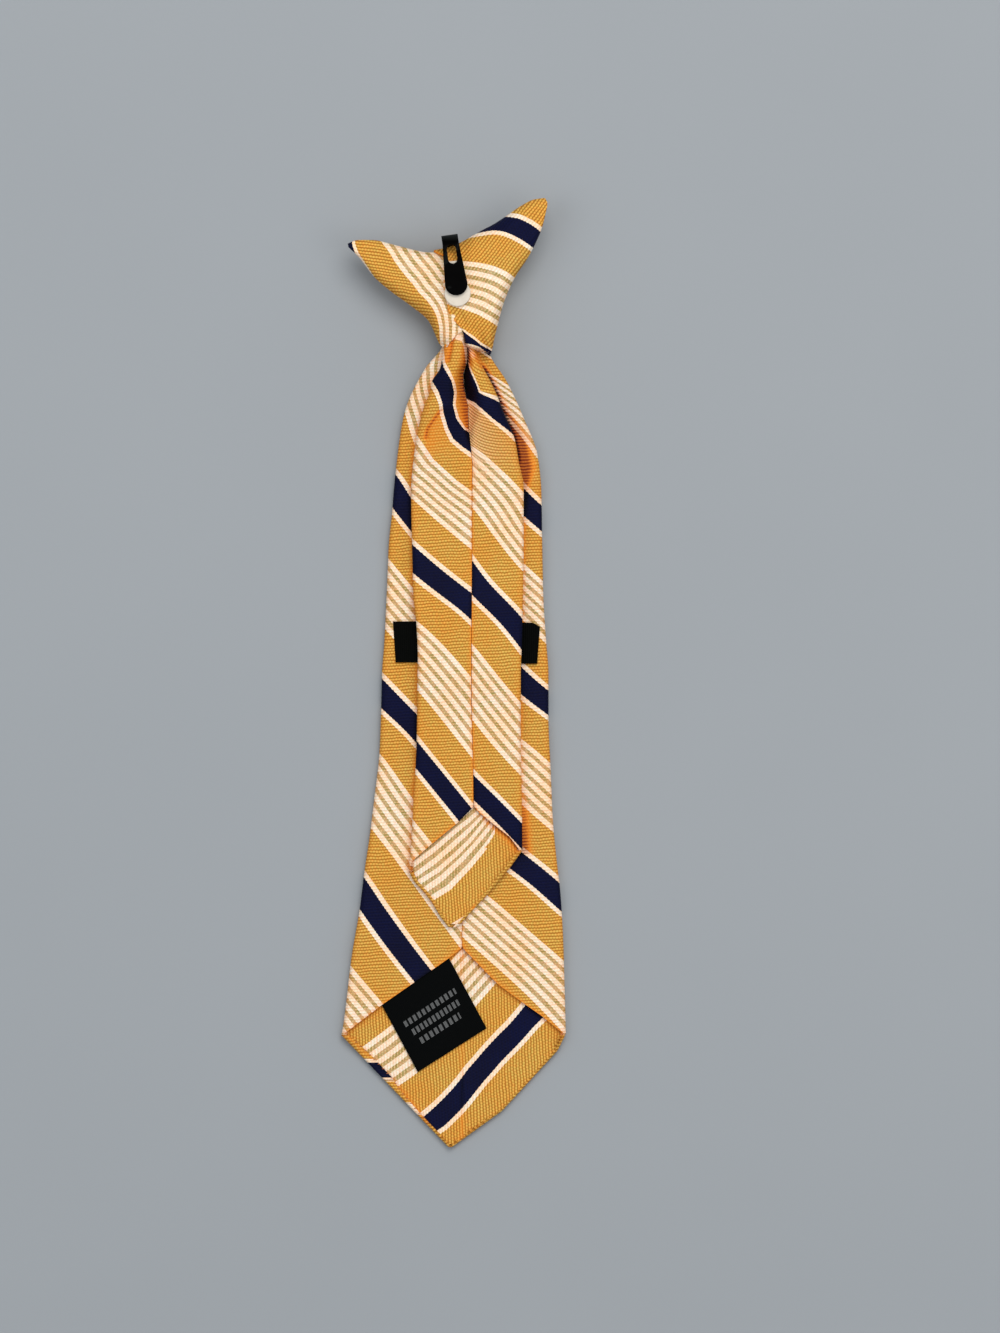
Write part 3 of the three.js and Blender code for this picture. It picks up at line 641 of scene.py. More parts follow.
# %% Blade stripes
# where the pattern stands at the fold and at the seam of each flap, in repeats
BLADE_LEFT_STRIPES = [
    (107.0, -0.68, -0.80), (102.0, -0.6, -0.78), (91.1, -0.41, -0.81), (80.3, -0.24, -0.69),
    (69.4, -0.13, -0.55), (60.1, 0.02, -0.39), (50.8, 0.14, -0.27), (33.8, 0.43, -0.04),
    (15.2, 0.73, 0.3), (-1.9, 1.0, 0.61), (-11.2, 1.14, 0.75), (-28.2, 1.46, 0.94),
    (-46.8, 1.738, 1.242), (-63.9, 2.008, 1.468), (-73.2, 2.135, 1.592), (-91.8, 2.42, 1.83),
    (-111.9, 2.76, 2.1), (-147.0, 3.3, 2.6),
]
BLADE_RIGHT_STRIPES = [
    (107.0, -0.1, 0.0), (102.0, 0.02, 0.18), (89.6, 0.38, 0.71), (78.7, 0.62, 1.03),
    (67.9, 0.73, 1.2), (57.0, 0.91, 1.29), (49.3, 1.04, 1.38), (32.2, 1.33, 1.74),
    (15.2, 1.65, 2.1), (1.2, 1.88, 2.27), (-9.6, 2.07, 2.42), (-25.1, 2.35, 2.78),
    (-43.7, 2.66, 3.08), (-57.7, 2.89, 3.28), (-70.1, 3.07, 3.546), (-90.2, 3.415, 3.905),
    (-111.9, 3.748, 4.30), (-147.0, 4.3, 4.9),
]

# %% [markdown]
# Where cloth is gathered, its stripes bend too much for a table. There they are given as lines
# drawn across the cloth, each with its place in the repeat, and every point takes its pattern
# from the two lines beside it.

# %% Pattern between drawn lines
def signed_distance(x, y, points):
    """Distance to a polyline, carried on at both ends; positive on its right-hand side."""
    pts = np.array(points, float)
    first, last = pts[0] - pts[1], pts[-1] - pts[-2]
    pts[0] = pts[0] + 40 * first / np.linalg.norm(first)
    pts[-1] = pts[-1] + 40 * last / np.linalg.norm(last)
    best = np.full(np.shape(x), 1e9)
    sign = np.ones(np.shape(x))
    for (ax, ay), (bx, by) in zip(pts[:-1], pts[1:]):
        dx, dy = bx - ax, by - ay
        t = np.clip(((x - ax) * dx + (y - ay) * dy) / (dx * dx + dy * dy), 0, 1)
        away = np.hypot(x - ax - t * dx, y - ay - t * dy)
        side = np.sign((x - ax) * dy - (y - ay) * dx)
        closer = away < best
        best = np.where(closer, away, best)
        sign = np.where(closer, side, sign)
    return best * sign


def pattern_between(levels, x, y):
    """Place in the pattern from (place, line) pairs in growing order."""
    away = [signed_distance(x, y, line) for _, line in levels]
    value = levels[0][0] + away[0] / REPEAT
    for i in range(len(levels) - 1):
        low, high = levels[i][0], levels[i + 1][0]
        near, far = away[i], -away[i + 1]
        share = near / np.maximum(near + far, 1e-6)
        value = np.where(near >= 0, low + (high - low) * np.clip(share, 0, 1), value)
    return np.where(away[-1] >= 0, levels[-1][0] + away[-1] / REPEAT, value)


# %% [markdown]
# One function builds any folded panel, because the tail is made in the same way as the blade.

# %% Folded panel
FLAT_REPEAT = REPEAT * math.sqrt(2)  # mm down or across the cloth for one repeat, at 45 degrees


def panel_edges(panel):
    """Left and right edge, inner edges of the flaps and the seam, as functions of y."""
    left_side, right_side = through(panel["left"]), through(panel["right"])
    left_point, right_point = straight(panel["point_left"]), straight(panel["point_right"])
    left_corner, right_corner = panel["point_left"][0][0], panel["point_right"][0][0]
    left = lambda y: np.where(y > left_corner, left_side(y), left_point(y))
    right = lambda y: np.where(y > right_corner, right_side(y), right_point(y))
    seam = straight(panel["seam"])
    v_left, v_right = straight(panel["v_left"]), straight(panel["v_right"])
    hem_left, hem_right = straight(panel["hem_left"]), straight(panel["hem_right"])
    apex = panel["v_left"][0][0]
    half_gap = panel["seam_gap"] / 2

    def inner_left(y):
        flap = np.where(y > apex, seam(y) - half_gap, v_left(y))
        return np.where(y > left_corner, np.maximum(flap, left(y) + 0.7), left(y) + hem_left(y))

    def inner_right(y):
        flap = np.where(y > apex, seam(y) + half_gap, v_right(y))
        return np.where(y > right_corner, np.minimum(flap, right(y) - 0.7), right(y) - hem_right(y))

    return left, right, inner_left, inner_right, seam


def panel_area(panel):
    """Area of the cut cloth in square metres: the front and both flaps, from the outline."""
    left, right, inner_left, inner_right, _ = panel_edges(panel)
    y = panel["rows"]
    widths = (right(y) - left(y)) + (inner_left(y) - left(y)) + (right(y) - inner_right(y))
    return float(widths.sum()) * abs(float(y[1] - y[0])) * MM * MM


def folded_panel(name, panel, relief, front_relief):
    left, right, inner_left, inner_right, seam = panel_edges(panel)
    y = panel["rows"]
    bottom = through(panel["depth"], 1)(y) + panel["lift"](y)
    height = through(panel["depth"], 2)(y)
    top = bottom + height
    bend = np.minimum(height * panel["roundness"], (right(y) - left(y)) * 0.24)
    flap_n, arc_n, front_n = panel["columns"]
    x_left, x_right = left(y), right(y)
    phase = {}
    for side in ("left", "right"):
        table = panel["stripes_" + side]
        phase[side] = (through(table, 1), through(table, 2))

    def flap_phase(side, x, y_):
        at_fold, at_seam = phase[side]
        edge = left(y_) if side == "left" else right(y_)
        share = (x - edge) / (seam(y_) - edge)
        place = at_fold(y_) * (1 - share) + at_seam(y_) * share
        if "neck_stripes" not in panel:
            return place
        drawn = pattern_between(panel["neck_stripes"][side], x, y_)
        neck = ramp(y_, *panel["neck"])
        return place * (1 - neck) + drawn * neck

    columns_x, columns_z, columns_p = [], [], []

    def add(x, z, p):
        columns_x.append(x)
        columns_z.append(z)
        columns_p.append(p)

    # left flap from its inner edge to the fold
    start, end = inner_left(y), np.minimum(x_left + bend, inner_left(y) - 0.05)
    for t in np.linspace(0, 1, flap_n):
        x = start + (end - start) * t
        add(x, top + relief(x, y, "left"), flap_phase("left", x, y))
    end_left = relief(end, y, "left")
    # left fold: a half round from the flap down to the front
    for t in np.linspace(0, 1, arc_n + 2)[1:-1]:
        angle = math.pi / 2 + math.pi * t
        x = x_left + bend + bend * math.cos(angle)
        z = bottom + height / 2 + (height / 2) * math.sin(angle) + end_left * (1 - t) ** 2
        above = t < 0.5
        p = flap_phase("left", x, y) if above else phase["left"][0](y) + (t - 0.5) * 0.1
        add(x, z, p)
    # front, from the left fold to the right one
    start_p, end_p = phase["left"][0](y) + 0.05, phase["right"][0](y) - 0.05
    for t in np.linspace(0, 1, front_n):
        x = (x_left + bend) * (1 - t) + (x_right - bend) * t
        z = bottom + front_relief(x, y, 2 * t - 1)
        add(x, z, start_p * (1 - t) + end_p * t)
    # right fold and right flap
    start, end = np.maximum(x_right - bend, inner_right(y) + 0.05), inner_right(y)
    end_right = relief(start, y, "right")
    for t in np.linspace(0, 1, arc_n + 2)[1:-1]:
        angle = -math.pi / 2 + math.pi * t
        x = x_right - bend + bend * math.cos(angle)
        z = bottom + height / 2 + (height / 2) * math.sin(angle) + end_right * t ** 2
        above = t > 0.5
        p = flap_phase("right", x, y) if above else phase["right"][0](y) - (0.5 - t) * 0.1
        add(x, z, p)
    for t in np.linspace(0, 1, flap_n):
        x = start + (end - start) * t
        add(x, top + relief(x, y, "right"), flap_phase("right", x, y))

    grid_x, grid_z = np.stack(columns_x, 1), np.stack(columns_z, 1)
    repeats = np.stack(columns_p, 1)
    grid_y = np.repeat(y[:, None], grid_x.shape[1], 1)
    outer = np.stack([grid_x, grid_y, grid_z], 2)
    # below the corners the flaps are only the front's turned edge, with the front's pattern
    for side in ("left", "right"):
        low = y < panel["point_" + side][0][0]
        point = front_pattern(panel, phase, grid_x[low], grid_y[low])
        hem = np.broadcast_to(panel["hem_place_" + side](y[low])[:, None], point.shape)
        half_arc, middle = flap_n + arc_n // 2, flap_n + arc_n + front_n // 2
        back, under = slice(0, half_arc), slice(half_arc, middle)
        if side == "right":
            back, under = slice(-half_arc, None), slice(middle, -half_arc)
        repeats[low, back] = hem[:, back]
        repeats[low, under] = point[:, under]
    inner = inwards(outer, np.full(grid_x.shape, panel["cloth"]))
    stripes = np.stack([repeats, grid_x / REPEAT], 2)
    rib_line = 0.06 * (grid_x - 3.0) + panel["rib_bend"](grid_x, grid_y)  # the ribs slope a little
    weave = np.stack([grid_x, rib_line - grid_y], 2)
    # the painted shade and the painted sheen belong to the back alone, not to the cloth's front
    round_fold, flap = ramp(np.arange(arc_n), 0, 0.6 * arc_n), np.ones(flap_n)
    on_back = np.concatenate([flap, 1 - round_fold, np.zeros(front_n), 1 - round_fold[::-1], flap])
    tints = {tint: on_back * panel[tint](grid_x, grid_y) for tint in ("fold", "pale")}
    piece = cloth_mesh(name, outer, inner, stripes, weave, tints)
    piece.data.materials.append(CLOTH)
    return piece, outer


def front_pattern(panel, phase, x, y):
    """The pattern on the front below the corners, carried on from the corner's row."""
    corner_y = panel["point_left"][0][0]
    edges = panel_edges(panel)
    x0, x1 = float(edges[0](corner_y + 0.01)), float(edges[1](corner_y + 0.6))
    p0, p1 = float(phase["left"][0](corner_y)), float(phase["right"][0](corner_y))
    return p0 + (p1 - p0) * (x - x0) / (x1 - x0) + (corner_y - y) / FLAT_REPEAT


# %% Blade
def rows_between(high, low, step):
    return np.linspace(high, low, int(round((high - low) / step)) + 1)


def blade_hem_left(y):
    """The pattern on the left hem: the navy stripe near the corner, then orange and one line."""
    below_navy = np.where(np.abs(y + 134.9) < 2.2, FIRST_LINE, FIRST_ORANGE)
    return np.where(y > -126.3, 1 + NAVY_FROM + (-120.3 - y) * 0.0289, below_navy)


def orange_hem(y):
    return SECOND_ORANGE + 0.0 * y


BLADE = {
    "left": BLADE_LEFT, "right": BLADE_RIGHT, "seam": BLADE_SEAM,
    "point_left": BLADE_POINT_LEFT, "point_right": BLADE_POINT_RIGHT,
    "v_left": BLADE_V_LEFT, "v_right": BLADE_V_RIGHT,
    "hem_left": BLADE_HEM_LEFT, "hem_right": BLADE_HEM_RIGHT,
    "stripes_left": BLADE_LEFT_STRIPES, "stripes_right": BLADE_RIGHT_STRIPES,
    "depth": BLADE_DEPTH, "lift": nothing,
    "rows": rows_between(106.4, -146.5, 0.72), "columns": (38, 8, 24),
    "roundness": 0.45, "cloth": 0.75, "seam_gap": 0.14,
    "hem_place_left": blade_hem_left, "hem_place_right": orange_hem,
    "rib_bend": nothing, "pale": nothing,
}


def blade_relief(x, y, side):
    """A dip along the seam, soft edges, and a slope down to them at the neck."""
    dip = -0.35 * hill(x - straight(BLADE_SEAM)(y), 1.3) * ramp(-y, -40, 60)
    uneven = 0.16 * ripple(x, y, 9.0, 1.3)
    edge = BLADE_EDGE[side](y)
    soft = 0.22 * fade(x - edge, 3.5)
    neck = ramp(y, 60, 84)
    slope = -0.9 * neck * bell((x - edge) / 8.0)
    return dip + uneven * ramp(-y, -100, -80) + soft * (1 - neck) + slope


def blade_front_relief(x, y, share):
    pleat = 1.5 * bell(share / 0.5) * ramp(y, 50, 92)
    folds = 0.35 * np.sin(share * 9.0) * ramp(y, 66, 96)
    return np.maximum(pleat + folds * (1 - bell(share / 0.5)), 0.0)


# %% [markdown]
# The tail presses on the blade, so the blade is shaded beside it. That needs the tail's outline.

# %% Tail outline and shade on the blade
TAIL_LEFT = [
    (107.0, -2.4), (105.1, -2.8), (99.2, -3.7), (94.5, -4.6), (90.5, -7.1), (87.2, -7.8),
    (82.8, -9.6),
    (69.8, -12.4), (56.1, -13.6), (40.3, -13.3), (24.5, -12.9), (14.6, -11.9), (4.7, -11.5),
    (0.0, -11.6), (-17.4, -11.8), (-30.4, -12.3), (-39.1, -12.9), (-49.9, -13.4), (-61.1, -14.4),
]
TAIL_RIGHT = [
    (107.0, 5.4), (103.4, 5.4), (100.4, 6.2), (97.3, 7.4), (95.3, 8.4), (90.6, 11.0), (86.3, 13.0),
    (83.2, 14.2), (79.3, 15.8), (75.3, 17.6), (71.9, 18.7), (65.2, 19.9), (58.0, 21.3),
    (40.3, 21.3), (24.5, 21.1), (8.7, 20.7), (0.0, 20.4),
    (-17.4, 20.4), (-30.4, 20.6), (-43.4, 20.8), (-54.6, 20.9),
]

TAIL_EDGE = {"left": through(TAIL_LEFT), "right": through(TAIL_RIGHT)}
BLADE_SLANTS = [flipped(BLADE_V_LEFT), flipped(BLADE_V_RIGHT)]
# width and strength of the painted shade on the blade beside the tail's right edge, down the tie
CREASE_SHADE_WIDTH = straight([
    (-56, 2.2), (-44, 1.9), (-34, 0.5), (44, 0.5), (58, 1.3), (64, 3.6), (72, 3.2), (79, 2.0),
    (87, 1.1), (96, 0.8),
])
CREASE_SHADE_STRENGTH = straight([
    (-56, 0.75), (-44, 0.55), (-34, 0.3), (40, 0.3), (54, 0.45), (60, 0.85), (66, 1.0), (82, 0.95),
    (90, 0.6), (97, 0.3),
])


def blade_painted_shade(x, y):
    """Red shade beside the tail, along the slants, the seam, the folded edges and the hem."""
    right_of, left_of = x - TAIL_EDGE["right"](y), TAIL_EDGE["left"](y) - x
    beyond_right, beyond_left = np.maximum(right_of, 0), np.maximum(left_of, 0)
    on_right, on_left = right_of > -2, left_of > -2
    strip = 1.3 * CREASE_SHADE_STRENGTH(y) * np.exp(-(beyond_right / (1.2 * CREASE_SHADE_WIDTH(y))) ** 3)
    strip = np.minimum(strip, 1.0) * (y > -56) * on_right
    beside = 0.42 * hill(beyond_left, 0.8) * (y > -61) * on_left
    slants = sum(fade(near_line(x, y, line), 0.6) for line in BLADE_SLANTS)
    seam = fade(x - straight(BLADE_SEAM)(y), 0.4) * ramp(-y, 60, 74)
    rim = fade(x - BLADE_EDGE["right"](y), 0.7) + fade(x - BLADE_EDGE["left"](y), 0.7)
    hem_edge = [(x0 + dx, y0) for (y0, x0), dx in zip(BLADE_POINT_LEFT[:3], (1.6, 3.3, 1.1))]
    hem = 0.35 * fade(near_line(x, y, hem_edge), 0.5) * (y < -112)
    # a painted dark shadow on the blade close beside the tail's right edge, near the knot
    under_tail = 1.75 * hill(beyond_right, 1.25) * on_right * ramp(y, 60, 68) * ramp(-y, -98, -93)
    shade = np.clip(np.maximum(strip, beside) + 0.5 * slants + 0.45 * seam + 0.3 * rim + hem, 0, 1)
    return np.maximum(shade, under_tail)


BLADE["fold"] = blade_painted_shade
blade, blade_grid = folded_panel("blade_cloth", BLADE, blade_relief, blade_front_relief)
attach(blade, "root")
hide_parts("front_blade")


def grid_area(grid):
    """Area of a grid of points in mm, in square metres."""
    a, b = grid[1:, :-1] - grid[:-1, :-1], grid[:-1, 1:] - grid[:-1, :-1]
    return float(np.linalg.norm(np.cross(a, b), axis=2).sum()) * MM * MM


def print_areas(name, cut, grid):
    print(name, "square metres:", round(cut, 5), "in the mesh:", round(grid_area(grid), 5))


print_areas("blade cloth", panel_area(BLADE), blade_grid)
panel_area(BLADE)

# %% [markdown]
# ## The cloth inside the blade's point
# Between the parted flaps the same cloth shows as a lining, but with its stripes running the
# other way. Its stripes are drawn as lines too.

# %% Lining of the blade's point
def lining(name, rows, left, right, height, pattern, relief, fold, flat):
    """One flat layer of cloth between two edges, following a height and a pattern."""
    thickness = 0.6
    y = rows[:, None]
    share = np.linspace(1, 0, 72)[None, :]
    x = left(y) * (1 - share) + right(y) * share
    y = np.broadcast_to(y, x.shape)
    z = height(y) + relief(x, y)
    outer = np.stack([x, y, z], 2)
    inner = outer - np.array([0, 0, thickness])
    stripes = np.stack([pattern(x, y), x / REPEAT], 2)
    weave = np.stack([-y, x + 0.05 * y], 2)
    piece = cloth_mesh(name, outer, inner, stripes, weave, {"fold": fold(x, y)})
    piece.data.materials.append(CLOTH)
    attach(piece, "root")
    cut = float((right(rows) - left(rows)).sum()) * abs(rows[1] - rows[0]) * MM * MM
    print_areas(name, cut, outer)
    return piece


def lining_sides(panel):
    """The lining's left and right edge: a little inside the panel's own."""
    left, right = panel_edges(panel)[:2]
    return (lambda y: left(y) + 0.8), (lambda y: np.maximum(right(y) - 0.8, left(y) + 1.0))


BLADE_LINING_STRIPES = [
    (LINES_FROM, [
        (-30.1, -116.4), (-27.3, -114.4), (-20.1, -109.0), (-9.2, -97.6), (1.2, -86.0),
        (32.5, -58.1),
    ]),
    (LINES_TO, [
        (-17.4, -127.4), (-12.1, -123.7), (-2.6, -113.5), (6.5, -102.6), (12.7, -95.5),
        (20.4, -85.9),
    ]),
    (1 + NAVY_FROM, [
        (-12.1, -139.2), (-8.4, -136), (-5.9, -133.8), (-3.4, -131.3), (-0.9, -128.7),
        (1.6, -125.7), (4, -122.4), (6.5, -119.6), (9, -116.6), (11.5, -113.9), (13.9, -111.4),
        (16.4, -109), (18.9, -106.2), (21.4, -103.1), (28.8, -94.2),
    ]),
    (1 + NAVY_TO, [
        (-9.6, -143.8), (-5.9, -141.5), (-3.4, -139.9), (-0.9, -137.5), (1.6, -135), (4, -132.2),
        (6.5, -129), (9, -125.9), (11.5, -123.1), (13.9, -120.3), (16.4, -117.7), (18.9, -115.2),
        (21.4, -112.5), (23.9, -109.6), (26.4, -107.1), (32.5, -101.1),
    ]),
]
blade_lining = lining(
    "blade_lining", rows_between(-71.5, -145.6, 0.6), *lining_sides(BLADE),
    lambda y: 1.9 - 0.35 * ramp(-y, 120, 144),
    lambda x, y: pattern_between(BLADE_LINING_STRIPES, x, y),
    lambda x, y: 0.10 * ripple(x, y, 7.0, 4.1), blade_painted_shade, (0.068, 0.073),
)
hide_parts("front_facing")

# %% [markdown]
# ## The tail
# The tail is folded like the blade, only narrower, and lies on it. Under the knot its two flaps
# stand up as soft lobes with a deep valley between them, because the cloth is squeezed together
# there. The lobes are heights added to the flaps, measured from the valley's middle line.

# %% Tail tables
TAIL_SEAM = [
    (107.0, 3.5), (104.8, 3.8), (99.8, 3.8), (96.4, 3.7), (92.7, 2.6), (89.3, 2.8), (85.6, 3.4),
    (82.8, 4.1), (75.6, 4.3), (69.4, 5.0), (65.4, 5.4), (56.1, 5.3), (36.6, 5.3), (8.7, 5.1),
    (-8.7, 5.1), (-26.0, 5.6), (-41.2, 5.8), (-62.0, 5.8),
]
TAIL_POINT_LEFT = [
    (-61.1, -14.2), (-64.2, -12.8), (-68, -9.2), (-71.3, -6.8), (-75.4, -4.4), (-78.7, -1.8),
]
TAIL_POINT_RIGHT = [
    (-54.6, 20.9), (-59.7, 17.3), (-68.6, 9.9), (-73.6, 5.1), (-76.9, 2.2), (-78.7, 0),
]
TAIL_V_LEFT = [(-41.2, 5.6), (-46.3, 0.6), (-53.5, -8.2), (-58, -13.3), (-61.1, -14)]
TAIL_V_RIGHT = [(-41.2, 6), (-42.8, 7.4), (-45.8, 11.1), (-50.5, 17), (-54.6, 20.1)]
TAIL_HEM_LEFT = [(-61.1, 0.8), (-63.0, 1.3), (-72.0, 1.2), (-79.0, 0.9)]
TAIL_HEM_RIGHT = [(-54.6, 0.9), (-57.0, 1.5), (-70.0, 1.3), (-79.0, 0.9)]
# depth of the folded tail above its underside
TAIL_DEPTH = [
    (107.0, 0.0, 4.9), (98.0, 0.0, 4.9), (90.0, 0.0, 4.8), (80.0, 0.0, 4.5), (70.0, 0.0, 4.0),
    (58.0, 0.0, 3.4), (45.0, 0.0, 3.0), (-54.0, 0.0, 2.9), (-61.1, 0.0, 2.8), (-66.0, 0.0, 2.1),
    (-79.0, 0.0, 1.9),
]
TAIL_LEFT_STRIPES = [
    (107.0, -0.36, -0.1), (105.1, -0.33, -0.1), (97.3, -0.12, -0.19), (91.1, 0.11, -0.13),
    (84.9, 0.33, -0.16), (78.7, 0.39, -0.11), (74.1, 0.46, -0.01), (68.8, 0.55, 0.1),
    (55.5, 0.74, 0.42), (38.4, 1.02, 0.75), (23.9, 1.25, 1.01), (15.2, 1.42, 1.15),
    (-5.0, 1.75, 1.45), (-23.6, 2.04, 1.71), (-42.2, 2.35, 1.99), (-62.3, 2.68, 2.3),
    (-79.0, 2.95, 2.55),
]
TAIL_RIGHT_STRIPES = [
    (107.0, 0.78, 0.93), (103.0, 0.80, 0.98), (97.3, 0.83, 1.04), (91.1, 0.88, 1.09),
    (86.5, 0.93, 1.12), (82.0, 0.99, 1.17), (78.7, 1.05, 1.24), (69.4, 1.18, 1.42),
    (53.9, 1.394, 1.714),
    (33.8, 1.71, 2.01), (24.5, 1.88, 2.13), (7.4, 2.13, 2.43), (-11.2, 2.43, 2.71),
    (-29.8, 2.72, 2.97), (-39.1, 2.87, 3.13), (-54.6, 3.13, 3.41), (-79.0, 3.5, 3.8),
]
# the same count along lines drawn across the gathered flaps, in millimetres
TAIL_NECK_LEFT = [
    (LINES_TO - 1, [
        (-3.4, 106.6), (-0.9, 104.5), (0.9, 103.2), (2.3, 102.8), (2.9, 101.1), (3.3, 98.6),
        (3.5, 95.5), (3.9, 91.1),
    ]),
    (EDGE_FROM, [
        (-3.6, 104.2), (-3.3, 99.8), (-3, 96.4), (-1.4, 93.7), (0.2, 89.9), (0.7, 87.1),
        (0.3, 83.2), (1.3, 79.4), (3.2, 76.4), (5, 75.3),
    ]),
    (NAVY_FROM, [
        (-4.5, 103.5), (-4.3, 98.9), (-3.4, 94.7), (-1, 90.6), (-0.2, 87.1), (-0.6, 83.2),
        (0.45, 78.9), (2.7, 75.8), (5, 74.4),
    ]),
    (NAVY_TO, [
        (-10.2, 93.9), (-6.9, 90.5), (-5, 87.4), (-3.8, 83.9), (-3.4, 80.7), (-2, 76),
        (-0.4, 72.8), (2.4, 70.4), (5.3, 68.4),
    ]),
    (EDGE_TO, [
        (-11.2, 92.8), (-7.8, 89.4), (-6, 86.3), (-4.8, 83.1), (-4.5, 80), (-3, 75.1),
        (-1.4, 71.8), (1.6, 69.3), (4.8, 67),
    ]),
    (LINES_FROM, [
        (-15.7, 79.6), (-13.2, 76.3), (-10.7, 72.6), (-6.5, 66.4), (0.4, 60.1), (5.3, 56.6),
    ]),
    (LINES_TO, [(-17.1, 57), (-13, 54.1), (-5.9, 47.9), (5.3, 39.1)]),
]
TAIL_NECK_RIGHT = [
    (LINES_TO, [(2.2, 104.2), (3.7, 102.6), (6.2, 102), (8.4, 100.4), (10.8, 97.8), (13.9, 93.6)]),
    (1 + EDGE_FROM, [
        (3.1, 104.8), (3.9, 99.8), (4.4, 96.1), (5.3, 93.5), (6.3, 91.5), (7.2, 89.3), (7.9, 87.6),
        (9.2, 87), (11.1, 86.5), (13.9, 85.8), (16.7, 83.9),
    ]),
    (1 + NAVY_FROM, [
        (2.8, 104.8), (3.6, 99.8), (4.1, 96.1), (4.9, 93.3), (5.9, 91.2), (6.8, 89.2), (7.4, 87.1),
        (8.9, 86.1), (10.7, 85.5), (13.6, 84.1), (16.4, 82.3),
    ]),
    (1 + NAVY_TO, [
        (0, 91.8), (1.9, 89.1), (3.4, 85.4), (6.3, 83.9), (9, 81.5), (11.7, 79.1), (16.3, 75.6),
        (19.2, 73.2),
    ]),
    (1 + EDGE_TO, [
        (-0.9, 90.8), (0.9, 88.2), (3, 84.3), (5.8, 82.9), (8.5, 80.5), (11.2, 78.1), (15.5, 74.7),
        (18.3, 72.1),
    ]),
    (1 + LINES_FROM, [(1.6, 72.2), (5, 70.7), (9.6, 67.6), (16.7, 61.1), (22, 55.6)]),
    (1 + LINES_TO, [(0.9, 56.6), (5.5, 51.3), (12.6, 43.6), (22, 33)]),
]
BAND_MIDDLE, BAND_HALF = 9.65, 6.35  # the keeper band's place down the tie, in mm


def tail_lift(y):
    """Underside of the tail: it lies on the blade and climbs over the keeper band."""
    climb = 1 - ramp(np.abs(y - BAND_MIDDLE) - BAND_HALF, 1.5, 20)
    return blade_top(y) + 0.42 * ramp(y, -76, -45) - 0.05 + 1.1 * climb


# %% Tail lobes and valley
VALLEY_FROM = 69.0
VALLEY = through([row for row in TAIL_SEAM if row[0] > VALLEY_FROM])
LEFT_PLEAT = [(-0.1, 105.4), (-0.9, 102.3), (-1.3, 99.6), (-1.9, 96.8)]
RIGHT_PLEAT = [(5.9, 98.9), (7.1, 97), (8.3, 95.2)]
FLAP_CREASE = [(-4.2, 81.6), (-5.9, 79.4), (-8.5, 75.7), (-9, 73)]
LEFT_HOLLOW = [(-2.4, 103), (-2.8, 97)]
VALLEY_RIM, VALLEY_PATCH = [(3.1, 103.5), (3.5, 98.6)], [(4.8, 100.6), (5.6, 98.2)]
TAIL_WIDE = through([
    (107.0, 0.5), (100.0, 1.2), (92.0, 1.7), (86.0, 2.8), (81.0, 2.6), (76.0, 1.2), (70.0, 0.5),
])
VALLEY_DEPTH = through([
    (107.0, 1.2), (101.0, 2.6), (90.0, 3.4), (80.0, 3.4), (75.5, 2.0), (71.0, 0.5), (64.0, 0.35),
    (-42.0, 0.35),
])


def tail_relief(x, y, side):
    """The valley, one round lobe on each side of it, the pleats and the crease."""
    away = x - np.where(y > VALLEY_FROM, VALLEY(y), straight(TAIL_SEAM)(y))
    wide = np.where(y > VALLEY_FROM, TAIL_WIDE(y), 0.8)
    groove = -VALLEY_DEPTH(y) * np.exp(-(np.abs(away) / wide) ** 2.4)
    edge = TAIL_EDGE[side](y)
    half = np.maximum(np.abs(edge - straight(TAIL_SEAM)(y)), 1.0)
    share = np.clip(np.abs(x - edge) / half, 0, 1)
    crown = 1.5 * np.sin(np.pi * share) * ramp(y, 52, 80) * (1 - 0.6 * ramp(y, 96, 106))
    pleat = -1.1 * hill(near_line(x, y, LEFT_PLEAT), 0.55)
    pleat = pleat - 1.0 * hill(near_line(x, y, RIGHT_PLEAT), 0.6)
    pleat = pleat - 0.8 * hill(near_line(x, y, FLAP_CREASE), 0.8)
    uneven = 0.15 * ripple(x, y, 8.0, 0.4)
    soft = 0.25 * fade(x - edge, 2.5) * (1 - ramp(y, 52, 80))
    return groove + crown + pleat + uneven + soft


